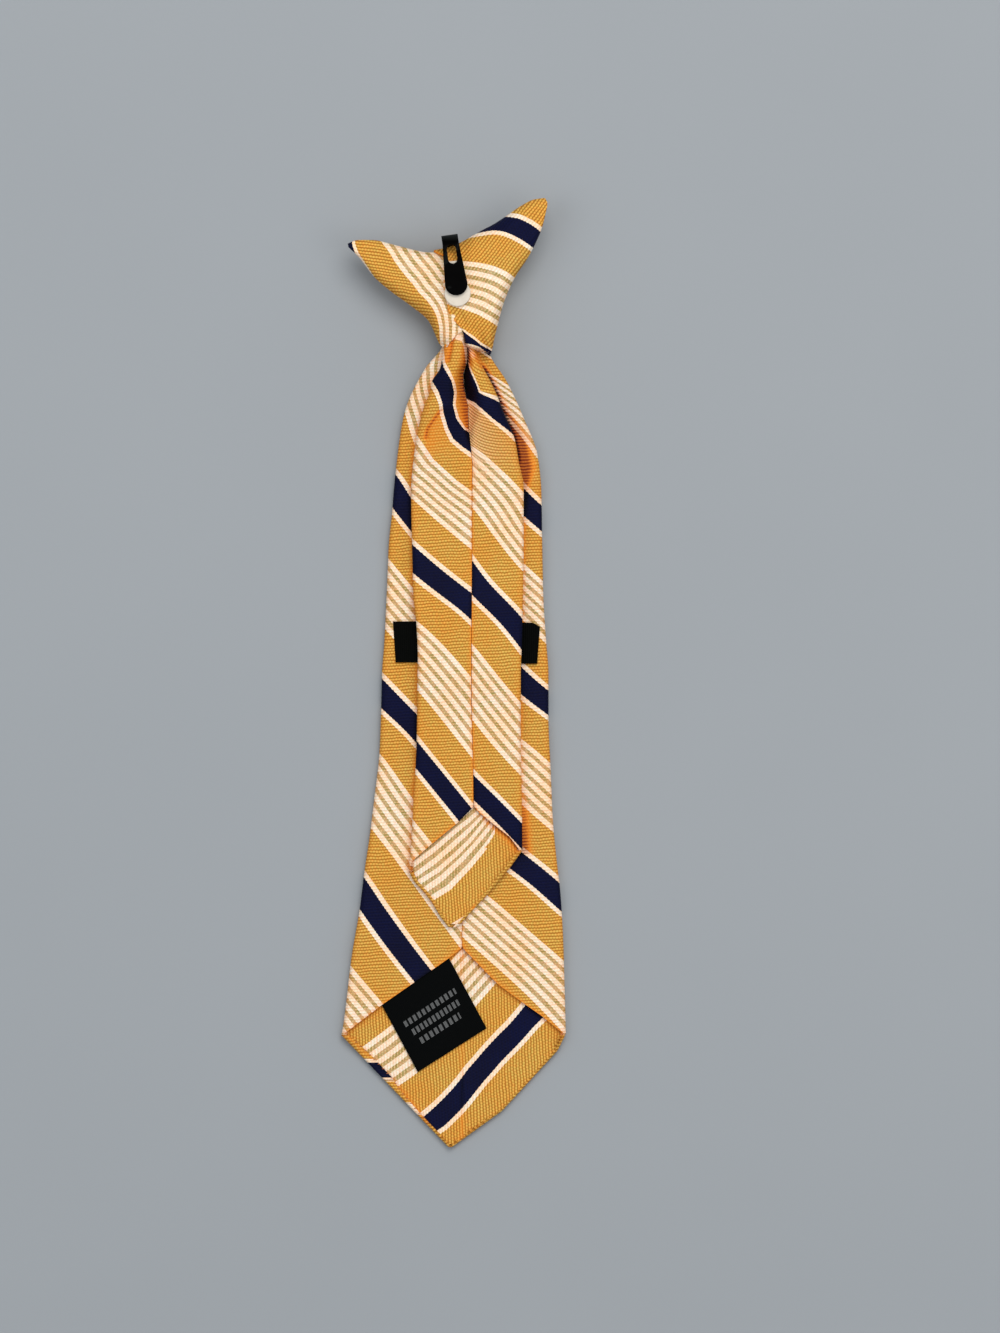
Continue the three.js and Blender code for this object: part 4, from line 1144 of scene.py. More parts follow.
def tail_painted_shade(x, y):
    """Red shade in the valley, the pleats, beside the crease and along the sewn edges."""
    away = x - straight(TAIL_SEAM)(y)
    on_left = away < 0
    deep = ramp(y, 68, 75) * hill(away, TAIL_WIDE(y) * 1.15)
    deep = np.where(away > 0, deep * ramp(y, 81, 88), deep)
    pleats = hill(near_line(x, y, LEFT_PLEAT), 0.5) + 1.2 * hill(near_line(x, y, FLAP_CREASE), 0.6)
    pleats = pleats + hill(near_line(x, y, RIGHT_PLEAT), 0.6)
    left_hollow = 0.5 * hill(near_line(x, y, LEFT_HOLLOW), 1.2)
    below_crease = np.maximum(signed_distance(x, y, FLAP_CREASE[::-1]), 0)
    # painted warmer shade on the left flap below the crease
    painted_shade_below_crease = 0.42 * ramp(below_crease, 0, 0.8) * fade(below_crease, 7.0) * on_left
    painted_shade_below_crease = painted_shade_below_crease * ramp(y, 62, 72) * ramp(-y, -86, -80)
    # painted hot-orange shade in the left lobe's hollow
    hot = 0.62 * hill(away, 4.2) * on_left * ramp(y, 74, 79) * ramp(-y, -95, -90)
    # painted black shadow deep in the valley
    black = 1.6 * hill(away - 0.3, 0.5 * TAIL_WIDE(y)) * ramp(y, 85, 88) * ramp(-y, -104.5, -102)
    line = 0.75 * fade(away, 0.35) * (1 - ramp(y, 66, 72))
    slants = sum(fade(near_line(x, y, flipped(v)), 0.5) for v in (TAIL_V_LEFT, TAIL_V_RIGHT))
    rim = fade(x - TAIL_EDGE["right"](y), 0.8) + fade(x - TAIL_EDGE["left"](y), 0.8)
    folds = np.maximum(np.maximum(0.95 * deep, 0.72 * pleats), np.maximum(left_hollow, painted_shade_below_crease))
    folds = np.clip(np.maximum(folds, hot) + line + 0.6 * slants + 0.35 * rim, 0, 1)
    return np.maximum(folds, black)


def tail_painted_sheen(x, y):
    """Painted sheen: a pinkish light on the lobe's tip and the right flap below its navy."""
    away = x - straight(TAIL_SEAM)(y)
    flap = 0.50 * fade(np.maximum(away, 0), 6.5) * (away > 0) * ramp(y, 58, 68) * ramp(-y, -86, -82)
    tip = 0.85 * hill(x - 1.4, 1.9) * hill(y - 104.6, 1.3)
    edge = 0.8 * hill(near_line(x, y, VALLEY_RIM), 0.35) * (away < 0.1)
    patch = 0.7 * hill(near_line(x, y, VALLEY_PATCH), 0.6)
    return np.clip(flap + tip + edge + patch, 0, 1)


def tail_rib_bend(x, y):
    """Ribs climb beside the valley, where the cloth is drawn into the knot."""
    away = x - straight(TAIL_SEAM)(y)
    return 5.0 * fade(away, 4.0) * (away > 0) * ramp(y, 56, 70)


# %% Tail
TAIL = {
    "left": TAIL_LEFT, "right": TAIL_RIGHT, "seam": TAIL_SEAM,
    "point_left": TAIL_POINT_LEFT, "point_right": TAIL_POINT_RIGHT,
    "v_left": TAIL_V_LEFT, "v_right": TAIL_V_RIGHT,
    "hem_left": TAIL_HEM_LEFT, "hem_right": TAIL_HEM_RIGHT,
    "stripes_left": TAIL_LEFT_STRIPES, "stripes_right": TAIL_RIGHT_STRIPES,
    "depth": TAIL_DEPTH, "lift": tail_lift,
    "rows": rows_between(106.2, -78.4, 0.5), "columns": (46, 8, 16),
    "roundness": 0.42, "cloth": 0.7, "seam_gap": 0.14,
    "hem_place_left": orange_hem,
    "hem_place_right": lambda y: np.where(y < -76.9, LAST_EDGE, SECOND_ORANGE),
    "neck_stripes": {"left": TAIL_NECK_LEFT, "right": TAIL_NECK_RIGHT}, "neck": (44.0, 58.0),
    "rib_bend": tail_rib_bend, "fold": tail_painted_shade, "pale": tail_painted_sheen,
}
tail, tail_grid = folded_panel("tail_cloth", TAIL, tail_relief, nothing)
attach(tail, "root")
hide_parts("tail_blade")
print_areas("tail cloth", panel_area(TAIL), tail_grid)
panel_area(TAIL)

# %% Lining of the tail's point
TAIL_LINING_STRIPES = [
    (0.4735, [
        (-15.5, -60.9), (-12.7, -58.8), (-6, -53.9), (0.2, -48.5), (4.8, -45), (6.5, -43.5),
        (9.6, -40.6),
    ]),
    (0.5374, [
        (-15.8, -64.8), (-13.6, -63.2), (-6, -57.5), (-0.6, -52.7), (4.4, -48.1), (8.2, -44.1),
        (11.2, -40.6),
    ]),
    (0.6013, [
        (-14.9, -66.5), (-12.3, -64.9), (-5.2, -60.7), (0.2, -56), (4.8, -51.5), (8.2, -47.1),
        (10.3, -44.3), (13, -40.6),
    ]),
    (0.6652, [
        (-12.7, -69), (-9.4, -66.9), (-3.9, -62.7), (2.3, -56.9), (6.5, -52.3), (9.9, -48.4),
        (11.5, -46.3), (15.2, -41.5),
    ]),
    (0.7291, [
        (-10.5, -71.6), (-7.3, -69.4), (-1.9, -66.1), (4.4, -59.4), (8.2, -54.8), (10.7, -51.5),
        (12.4, -48.7), (16.4, -42.8),
    ]),
]
LINING_TURN = straight([(-53.5, 9.8), (-52.4, 10.7), (-49.8, 12.2), (-47.3, 12.6), (-43.7, 13.3)])


def tail_lining_pattern(x, y):
    """Drawn lines, and plain orange where the lining is turned in beside the right slant."""
    turned = (x > LINING_TURN(y)) & (y > -53.5)
    return np.where(turned, SECOND_ORANGE, pattern_between(TAIL_LINING_STRIPES, x, y))


def tail_lining_painted_shade(x, y):
    # painted shade along the right slant, where the lining turns in
    slant = near_line(x, y, flipped(TAIL_V_RIGHT))
    return 0.62 * hill(slant, 1.5) * (x > 9) + 0.35 * fade(slant, 0.6)


tail_lining = lining(
    "tail_lining", rows_between(-32.0, -77.4, 0.5), *lining_sides(TAIL),
    lambda y: tail_lift(y) + 1.55, tail_lining_pattern,
    lambda x, y: 0.08 * ripple(x, y, 6.0, 2.2), tail_lining_painted_shade, (0.036, 0.045),
)
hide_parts("tail_facing")

# %% [markdown]
# ## The knot
# The knot is two wraps of the cloth with their ends standing up as wings. A soft core, cut
# across from wing to wing, gives the shape: each row of the table is one cut, from its point on
# the upper edge to its point on the lower edge. The right wrap is a second cloth laid round that
# core, so that its edge really lies over the left wrap.

# %% Knot shape
# upper edge x, y; lower edge x, y; lift; half thickness; how open the lower end is
KNOT_ROWS = [
    (-33.1, 133.0, -32.9, 131.9, 5.20, 0.75, 0),
    (-30.1, 134.1, -29.8, 128.9, 4.47, 1.65, 0),
    (-25.4, 134.2, -25.4, 123.2, 3.22, 3.00, 0),
    (-19.2, 132.9, -19.6, 117.9, 1.87, 4.50, 0),
    (-13.0, 131.7, -13.9, 113.5, 0.73, 5.85, 0),
    (-7.9, 131.1, -8.8, 109.0, 0.16, 6.90, 0),
    (-4.4, 131.5, -4.8, 101.2, 0.00, 7.27, 0.25),
    (-1.2, 132.4, -1.8, 99.8, 0.00, 7.50, 0.86),
    (2.2, 133.8, 2.7, 99.5, 0.00, 7.50, 0.9),
    (5.6, 135.8, 7.2, 99.1, 0.00, 7.50, 0.86),
    (8.3, 137.4, 10.9, 99.5, 0.00, 7.35, 0.25),
    (11.5, 139.1, 12.7, 106.5, 0.16, 6.90, 0),
    (15.5, 141.6, 14.6, 113.5, 0.62, 6.00, 0),
    (20.2, 144.7, 18.3, 122.1, 1.66, 4.65, 0),
    (24.5, 146.7, 23.0, 129.4, 3.02, 3.15, 0),
    (27.6, 147.1, 26.9, 137.8, 4.37, 1.65, 0),
    (28.6, 145.8, 28.6, 144.6, 5.20, 0.75, 0),
]
KNOT_HALF = 7.5  # half the knot's height
TOP_ROUND, LOW_ROUND = 0.22, 0.3  # share of the cut that each rounded edge takes
NOTCH_MIDDLE, NOTCH_HALF, NOTCH_RISE = 3.1, 7.2, 5.6  # the back's lower edge rises over the neck
KNOT_CURVES = [
    through([(i / (len(KNOT_ROWS) - 1), value) for i, value in enumerate(column)])
    for column in zip(*KNOT_ROWS)
]


def quarter_round(share):
    return np.sqrt(1 - (1 - np.clip(share, 0, 1)) ** 2)


def core_rise(x):
    return NOTCH_RISE * bell((x - NOTCH_MIDDLE) / NOTCH_HALF)


def knot_point(u, v, side, rise=core_rise):
    """A point of the knot: u from wing to wing, v from the upper to the lower edge.

    side is 1 on the back and -1 on the front.
    """
    top_x, top_y, low_x, low_y, lift, half, opened = [curve(u) for curve in KNOT_CURVES]
    half = np.minimum(half, KNOT_HALF)
    opened = np.clip(opened, 0, 1)
    if side > 0:
        low_y = low_y + rise(low_x)
    x = top_x + (low_x - top_x) * v
    y = top_y + (low_y - top_y) * v
    upper = quarter_round(v / TOP_ROUND)
    lip = 1 - 0.16 * (1 - quarter_round((1 - v) / 0.05))
    thick = half * np.maximum(upper * quarter_round((1 - v) / LOW_ROUND), upper * opened * lip)
    return np.stack([x, y, KNOT_HALF + lift + side * thick], -1)


def close_at_ends(first, last, count):
    """Steps from first to last that are shorter near both ends, where the knot is round."""
    return (1 - np.cos(np.pi * np.linspace(first, last, count))) / 2


def knot_rings(u, back_n, front_n):
    """Rings round the knot, one per value of u: down the back, then up the front."""
    back, front = close_at_ends(0, 1, back_n), close_at_ends(1, 0, front_n)
    uu, vv = np.meshgrid(u, back, indexing="ij")
    grid_back = knot_point(uu, vv, 1)
    uu, vv = np.meshgrid(u, front, indexing="ij")
    grid_front = knot_point(uu, vv, -1)
    return np.concatenate([grid_back, grid_front[:, 1:-1]], 1)


def ring_normals(rings):
    """Outward normals of closed rings."""
    wrapped = np.concatenate([rings[:, -1:], rings, rings[:, :1]], 1)
    around = wrapped[:, 2:] - wrapped[:, :-2]
    along = np.gradient(rings, axis=0)
    normal = np.cross(around, along)
    return normal / np.maximum(np.linalg.norm(normal, axis=2, keepdims=True), 1e-9)


# %% Knot patterns
LEFT_WRAP_STRIPES = [
    (NAVY_TO, [
        (-19.5, 114.7), (-25.7, 121.8), (-28.8, 126.5), (-30.8, 129.6), (-31.7, 132.4),
        (-32.1, 135.8),
    ]),
    (LINES_FROM, [
        (-4.3, 99.5), (-4.7, 102.9), (-4.9, 107.3), (-5.6, 110.4), (-6.8, 112.8), (-8.7, 115.3),
        (-11.2, 117.8), (-13, 120.3), (-15.2, 122.8), (-17.1, 125.2), (-18.9, 127.7),
        (-20.3, 130.2), (-22.2, 132.7), (-23.6, 134.5),
    ]),
    (LINES_TO, [
        (5.3, 100.4), (5.9, 105.4), (6.5, 110.4), (6.5, 115.3), (4.7, 120.3), (1.2, 125.2),
        (-2.5, 130.2), (-4.7, 132.7), (-6.5, 135.2),
    ]),
]
RIGHT_WRAP_STRIPES = [
    (NAVY_FROM, [
        (-4.7, 138.9), (6.2, 141.1), (12, 141.6), (16.5, 141.3), (19.5, 140.8), (21.4, 140.0),
        (23.3, 139.0), (25.1, 137.8), (27, 136.2), (29.5, 133.8),
    ]),
    (NAVY_TO, [
        (-4.7, 134.2), (5.9, 136.2), (10.2, 137), (12.1, 137.2), (14, 137), (15.8, 136.6),
        (17.7, 135.8), (19.5, 134.9), (21.4, 133.8), (23.3, 132.5), (25.1, 131.1), (27.5, 129),
    ]),
    (LINES_FROM, [
        (-4.7, 127.8), (2.8, 127.6), (6.5, 127.3), (8.4, 127), (10.2, 126.6), (12.1, 126.1),
        (13.9, 125.4), (15.8, 124.5), (17.7, 123.2), (23.2, 119),
    ]),
    (LINES_TO, [
        (-4.7, 115.2), (-2.5, 114.4), (0, 113.5), (3.4, 112.4), (6.5, 111.4), (8.4, 110.4),
        (10.2, 109.4), (12.1, 108.3), (15.8, 106),
    ]),
    (1 + EDGE_FROM, [
        (-4.7, 107.9), (1.9, 106.95), (4.0, 105.6), (6.0, 104.3), (7.9, 102.6), (10.9, 100.8),
        (15, 98),
    ]),
    (1 + NAVY_FROM, [
        (-4.7, 107.2), (1.9, 106.4), (4.0, 104.7), (6.0, 103.3), (7.9, 101.7), (10.9, 100.1),
        (15, 97.2),
    ]),
    (1 + NAVY_TO, [
        (-4.7, 105.2), (1.9, 104.4), (3.6, 102.2), (5.5, 101.9), (7.5, 101.2), (9.4, 99.9),
        (10.9, 98.8), (15, 95.8),
    ]),
]


def weave_along(x, y, angle):
    """Cloth millimetres when the ribs run at an angle to the picture's right-hand side."""
    a = math.radians(angle)
    return np.stack([x * math.cos(a) + y * math.sin(a), -x * math.sin(a) + y * math.cos(a)], -1)


# %% Knot core with the left wrap
def ring_index(rings):
    """Point numbers of closed rings, with each ring's first point again at its end."""
    rows, columns = rings.shape[:2]
    index = np.arange(rows * columns).reshape(rows, columns)
    return np.concatenate([index, index[:, :1]], 1)


def closed_rings_mesh(name, rings, stripes, weave, fold):
    """A body of closed rings, with a point in the middle of each end."""
    ends = np.stack([rings[0].mean(0), rings[-1].mean(0)])
    index = ring_index(rings)
    count = rings.shape[0] * rings.shape[1]
    points = np.concatenate([rings.reshape(-1, 3), ends]) * MM
    data = [
        np.concatenate([part.reshape(-1, part.shape[-1]), part[0, :1], part[-1, :1]])
        for part in (stripes, weave)
    ]
    tint = np.concatenate([fold.ravel(), [0.0, 0.0]])
    mesh = bpy.data.meshes.new(name)
    first = [(int(q), int(p), count) for p, q in zip(index[0, :-1], index[0, 1:])]
    last = [(int(p), int(q), count + 1) for p, q in zip(index[-1, :-1], index[-1, 1:])]
    mesh.from_pydata(points.tolist(), [], quads_of(index).tolist() + first + last)
    corner = np.zeros(len(mesh.loops), np.int32)
    mesh.loops.foreach_get("vertex_index", corner)
    for map_name, values in zip(("stripes", "weave"), data):
        layer = mesh.uv_layers.new(name=map_name)
        layer.data.foreach_set("uv", values[corner].astype(np.float32).ravel())
    layer = mesh.attributes.new("fold", "FLOAT", "POINT")
    layer.data.foreach_set("value", tint.astype(np.float32))
    mesh.polygons.foreach_set("use_smooth", np.ones(len(mesh.polygons), bool))
    print(name, "faces:", len(mesh.polygons))
    return placed(name, mesh)


WRAP_ROOM = 0.62  # mm that the core sinks to make room for the right wrap
TIP_ROOM = 0.3  # the same at the right wing's tip
WRAP_SHADE = [(-4.7, 115.9), (-2.5, 106.6), (-0.9, 99.8)]  # the lower half of the wrap's edge
LEFT_RIBS, RIGHT_RIBS = -8, 52  # degrees from the picture's right-hand side
u_rows = np.linspace(0, 1, 170)
core = knot_rings(u_rows, 46, 40)
room = np.where(u_rows[:, None] > 0.97, TIP_ROOM, WRAP_ROOM * ramp(core[:, :, 0], -22, -7))
soft_middle = ramp(KNOT_CURVES[5](u_rows), 0.8, 3.5)[:, None]
dents = 0.22 * ripple(core[:, :, 0], core[:, :, 1], 6.0, 0.9) * soft_middle
core = core - ring_normals(core) * (room + np.abs(dents) * 0.6)[..., None]
core[:, :, 2] = np.maximum(core[:, :, 2], 0.05)
knot_x, knot_y = core[:, :, 0], core[:, :, 1]
core_stripes = np.stack([pattern_between(LEFT_WRAP_STRIPES, knot_x, knot_y), knot_x / REPEAT], 2)
# painted shade on the left wrap beside the lower half of the right wrap's edge
core_painted_shade = 0.10 * ramp(-near_line(knot_x, knot_y, WRAP_SHADE), -3.5, 0)
core_weave = weave_along(knot_x, knot_y, LEFT_RIBS)
knot_core = closed_rings_mesh("knot_left_wrap", core, core_stripes, core_weave, core_painted_shade)
knot_core.data.materials.append(CLOTH)
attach(knot_core, "root")
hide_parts("knot_wrap")

# %% [markdown]
# The right wrap starts at its folded edge, which crosses the knot's back from under the clip to
# the mouth. For each height that edge's place between the wings is searched by halving, and the
# cloth runs from there to the right wing tip, all the way round the core.

# %% Right wrap
WRAP_EDGE_BACK = [
    (-2.8, 139.2), (-3.1, 127.7), (-3.6, 119.7), (-2.7, 115.6), (-2.4, 113.8), (-2.1, 111.9),
    (-1.2, 110), (0, 108.9), (1.3, 107.3), (2.2, 106.2),
]
WRAP_RISE = through([  # how far the wrap's lower edge on the back rises, from left to right
    (-6, 5.9), (1.6, 7.0), (2.4, 6.4), (3.1, 4.2), (3.7, 2.7), (4.6, 2.1), (7.5, 1.5), (9.5, 0.5),
    (10.9, -0.8), (12.5, -0.8), (16, 0), (29, 0),
])
WRAP_EDGE_FRONT = [(-13.0, 140.0), (-10.5, 126.0), (-7.5, 112.0), (-5.5, 104.0), (-4.0, 98.0)]


def edge_share(v, side, line):
    """Where the wrap's edge lies between the wings at each v."""
    edge_x = through(flipped(line))
    low, high = np.full(v.shape, 0.15), np.full(v.shape, 0.8)
    for _ in range(40):
        middle = (low + high) / 2
        point = knot_point(middle, v, side, WRAP_RISE)
        before = point[..., 0] < edge_x(point[..., 1])
        low, high = np.where(before, middle, low), np.where(before, high, middle)
    return (low + high) / 2


def wrap_grid(columns):
    """The wrap from its edge to the wing tip, down the back and up the front."""
    back, front = close_at_ends(0, 1, 60), close_at_ends(1, 0, 44)
    start_back = edge_share(back, 1, WRAP_EDGE_BACK)
    start_front = edge_share(front, -1, WRAP_EDGE_FRONT)
    blend = ramp(back, 0.0, 0.12) * ramp(-back, -1.0, -0.93)
    joint_top, joint_low = start_front[-1], start_front[0]
    joint = np.where(back < 0.5, (start_back[0] + joint_top) / 2, (start_back[-1] + joint_low) / 2)
    start_back = start_back * blend + np.where(back < 0.5, joint, start_back) * (1 - blend)
    near_top = ramp(-front, -0.12, 0.0)
    near_low = ramp(front, 0.9, 1.0)
    start_front = start_front + near_top * (start_back[0] - joint_top)
    start_front = start_front + near_low * (start_back[-1] - joint_low)
    t = np.linspace(0, 1, columns) ** 1.15
    grids = []
    for v, start, side in ((back, start_back, 1), (front, start_front, -1)):
        u = start[:, None] + (1 - start[:, None]) * t[None, :]
        grids.append(knot_point(u, np.broadcast_to(v[:, None], u.shape), side, WRAP_RISE))
    return np.concatenate([grids[0], grids[1][1:-1]], 0)


wrap = np.swapaxes(wrap_grid(150), 0, 1)  # one ring per step from the edge to the wing tip
wrap_normal = ring_normals(wrap)
steps = np.linalg.norm(np.diff(wrap, axis=0), axis=2)
from_edge = np.concatenate([np.zeros((1, wrap.shape[1])), np.cumsum(steps, 0)])
swell = 0.22 * ripple(wrap[:, :, 0], wrap[:, :, 1], 6.5, 2.9)
swell = 0.8 * swell * ramp(from_edge, 1, 6) * ramp(-wrap[:, :, 0], -27, -20)
roll = -0.30 * (1 - quarter_round(from_edge / 0.55))
outer_wrap = wrap + wrap_normal * (roll + swell)[..., None]
inner_wrap = wrap + wrap_normal * (np.minimum(swell, 0.0) - 0.50)[..., None]
inner_wrap[0] = wrap[0] + wrap_normal[0] * -0.55
outer_wrap[:, :, 2] = np.maximum(outer_wrap[:, :, 2], 0.02)


def tube_sheet(name, outer, inner, stripes, weave, tints):
    """A cloth wound into a closed ring: rows are rings, open at the first and last one."""
    count = outer.shape[0] * outer.shape[1]
    index = ring_index(outer)
    first, last = index[0], index[-1]
    faces = np.concatenate([
        *two_sides(index),
        np.stack([first[1:], first[:-1], first[:-1] + count, first[1:] + count], 1),
        np.stack([last[:-1], last[1:], last[1:] + count, last[:-1] + count], 1),
    ])
    points = np.concatenate([outer.reshape(-1, 3), inner.reshape(-1, 3)]) * MM
    return grid_mesh(name, points, faces, stripes, weave, tints, count)


wx, wy = outer_wrap[:, :, 0], outer_wrap[:, :, 1]
wrap_stripes = np.stack([pattern_between(RIGHT_WRAP_STRIPES, wx, wy), wx / REPEAT], 2)
# painted shade along the right wrap's rolled edge
wrap_tints = {"fold": 0.35 * (1 - ramp(from_edge, 0, 1.2))}
right_wrap = tube_sheet(
    "knot_right_wrap", outer_wrap, inner_wrap, wrap_stripes, weave_along(wx, wy, RIGHT_RIBS),
    wrap_tints,
)
right_wrap.data.materials.append(CLOTH)
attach(right_wrap, "root")
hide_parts("knot_wrap")


def outline_area(points):
    """Area inside an outline, in square metres."""
    x, y = np.array(points, float).T
    return 0.5 * abs(float(np.dot(x, np.roll(y, -1)) - np.dot(y, np.roll(x, -1)))) * MM * MM


ROUND_KNOT = 1.17  # how much longer the way over the round knot is than the way across
wrap_rows = [row for row in KNOT_ROWS if row[0] > -2.9]
wrap_outline = [row[:2] for row in wrap_rows] + [row[2:4] for row in wrap_rows[::-1]]
wrap_cut = 2 * ROUND_KNOT * outline_area(wrap_outline)
print_areas("right wrap", wrap_cut, np.concatenate([outer_wrap, outer_wrap[:, :1]], 1))

# %% [markdown]
# ## The spring clip
# The clip is one strip of black-painted steel with a slot, bent over the knot's upper edge. It
# is drawn flat, with the slot left out, and then each row of points is carried round the bend.
# Solidify gives it its thickness, and Bevel takes the sharpness off its stamped edges.

# %% Clip
CLIP_MIDDLE = (-0.98, 130.6)  # mm, where the bend starts
CLIP_TURN = math.radians(7.9)
BEND_Z, BEND_RADIUS = 12.25, 5.15
STRIP = 0.8  # thickness of the steel
TONGUE, ANCHOR = 13.8, 8.0  # lengths before the bend and behind it
TOP_HALF, END_HALF = 2.55, 3.5  # half widths at the bend and at the tongue's round end
SLOT_HALF, SLOT_LOW, SLOT_HIGH = 1.4, -3.9, 2.0
BEND_MIDDLE = BEND_RADIUS - STRIP / 2  # radius along the middle of the steel
BEND_LENGTH = math.pi * BEND_MIDDLE


def on_clip(x, y, z):
    """A point in metres from the clip's own sideways, lengthways and upright mm."""
    cos, sin = math.cos(CLIP_TURN), math.sin(CLIP_TURN)
    px, py = CLIP_MIDDLE[0] + x * cos - y * sin, CLIP_MIDDLE[1] + x * sin + y * cos
    return px * MM, py * MM, z * MM


def clip_half(s):
    """Half width of the strip at s: below 0 on the tongue, above 0 round the bend."""
    round_from = TONGUE - END_HALF
    share = np.clip((SLOT_HIGH - s) / (round_from + SLOT_HIGH), 0, 1)
    straight_part = TOP_HALF + (END_HALF - TOP_HALF) * share
    into_end = np.clip(-s - round_from, 0, END_HALF)
    round_part = np.sqrt(np.clip(END_HALF ** 2 - into_end ** 2, 0.02, None))
    return np.where(s < -round_from, round_part, straight_part)


def slot_half(s):
    """Half width of the slot, whose ends are round."""
    low, high = SLOT_LOW + SLOT_HALF, SLOT_HIGH - SLOT_HALF
    beyond = np.where(s < low, low - s, np.where(s > high, s - high, 0.0))
    return np.sqrt(np.clip(SLOT_HALF ** 2 - beyond ** 2, 0, None))


def clip_rows():
    """Places along the strip, closer together at the round ends of the tongue and the slot."""
    round_end, round_slot = [1 - np.cos(np.linspace(0, math.pi / 2, n)) for n in (14, 9)]
    return np.unique(np.round(np.concatenate([
        -TONGUE + END_HALF * round_end, np.linspace(-TONGUE + END_HALF, SLOT_LOW, 8),
        SLOT_LOW + SLOT_HALF * round_slot, np.linspace(SLOT_LOW + SLOT_HALF, 0, 4),
        np.linspace(0, SLOT_HIGH - SLOT_HALF, 6), SLOT_HIGH - SLOT_HALF * round_slot[::-1],
        np.linspace(SLOT_HIGH, BEND_LENGTH, 22), [BEND_LENGTH + ANCHOR],
    ]), 4))


def clip_strip(name):
    mesh = bmesh.new()
    grid = []
    for s in clip_rows():
        outer_x, slot_x = float(clip_half(s)), float(slot_half(s))
        across = [-outer_x - (-outer_x + slot_x) * t for t in (0, 0.33, 0.67, 1)]
        across = across + [slot_x + (outer_x - slot_x) * t for t in (0, 0.33, 0.67, 1)]
        turn = min(max(s, 0.0) / BEND_MIDDLE, math.pi)
        y = min(s, 0.0) + BEND_RADIUS * math.sin(turn) - max(s - BEND_LENGTH, 0.0)
        z = BEND_Z + BEND_RADIUS * math.cos(turn)
        grid.append([mesh.verts.new(on_clip(x, y, z)) for x in across])
    for low, high in zip(grid[:-1], grid[1:]):
        for i in (0, 1, 2, 4, 5, 6):  # the slot lies between 3 and 4
            mesh.faces.new((low[i], low[i + 1], high[i + 1], high[i]))
    bmesh.ops.remove_doubles(mesh, verts=mesh.verts, dist=1e-5)
    bmesh.ops.dissolve_degenerate(mesh, edges=mesh.edges, dist=1e-6)
    data = bpy.data.meshes.new(name)
    mesh.to_mesh(data)
    mesh.free()
    piece = placed(name, data)
    solid = piece.modifiers.new("strip", "SOLIDIFY")
    solid.thickness = STRIP * MM
    solid.offset = -1.0
    rounded = piece.modifiers.new("edges", "BEVEL")
    rounded.width = 0.2 * MM
    rounded.segments = 3
    rounded.limit_method = "ANGLE"
    rounded.angle_limit = math.radians(50)
    graph = bpy.context.evaluated_depsgraph_get()
    finished = bpy.data.meshes.new_from_object(piece.evaluated_get(graph))
    piece.modifiers.clear()
    piece.data = finished
    piece.data.polygons.foreach_set("use_smooth", np.ones(len(finished.polygons), bool))
    piece.data.set_sharp_from_angle(angle=math.radians(35))
    print(name, "faces:", len(finished.polygons))
    return piece


clip = clip_strip("spring_clip")

# %% [markdown]
# Black lacquer on steel is nearly black with soft, slightly broken highlights. A noise moves the
# roughness and the surface a little and lays greyer worn spots, and a painted highlight makes the
# strip greyer towards the bend.

# %% Lacquered steel
LACQUER = (0.0006, 0.0004, 0.0004), (0.030, 0.034, 0.033)  # whole, and grey for the worn spots and the painted highlight


def object_place(tree):
    return tree.nodes.new("ShaderNodeTexCoord").outputs["Object"]


def black_lacquer():
    material, tree, shader = start_material("black_lacquered_steel")
    place = object_place(tree)
    broad = noise(tree, place, 240.0, 3.0)
    wear_and_painted_highlight = times(tree, math_node(tree, "GREATER_THAN", broad, 0.63), 0.15)
    parts = tree.nodes.new("ShaderNodeSeparateXYZ")
    tree.links.new(place, parts.inputs[0])
    # painted highlight: the strip turns greyer towards the bend
    painted_bend_highlight = spread(tree, math_node(tree, "MULTIPLY_ADD", parts.outputs[1], 300.0, -40.1), 1.0)
    wear_and_painted_highlight = math_node(tree, "MULTIPLY_ADD", painted_bend_highlight, 0.5, wear_and_painted_highlight)
    tree.links.new(mix_colour(tree, wear_and_painted_highlight, *LACQUER), shader.inputs["Base Color"])
    tree.links.new(math_node(tree, "MULTIPLY_ADD", broad, 0.25, 0.24), shader.inputs["Roughness"])
    shader.inputs["Specular IOR Level"].default_value = 0.02
    add_bump(tree, shader, noise(tree, place, 2500.0, 3.0), 0.12, 0.00005)
    return material


clip.data.materials.clear()
clip.data.materials.append(black_lacquer())
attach(clip, "root")
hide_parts("collar_clip")

# %% [markdown]
# ## The pad under the clip
# A small rounded pad of ivory plastic lies between the tongue and the cloth. A flat outline is
# drawn, pulled up to a thin plate and bevelled, so its rim catches the light.

# %% Pad
PAD_HALF, PAD_LENGTH, PAD_START = 4.05, 14.1, -3.1
PAD_LOW, PAD_HIGH = 15.3, 16.2
PAD_NECK = [(2.6, 0.0), (2.9, -4.0)]  # right half of its narrower upper part
IVORY = (0.62, 0.53, 0.42), (0.74, 0.66, 0.55)


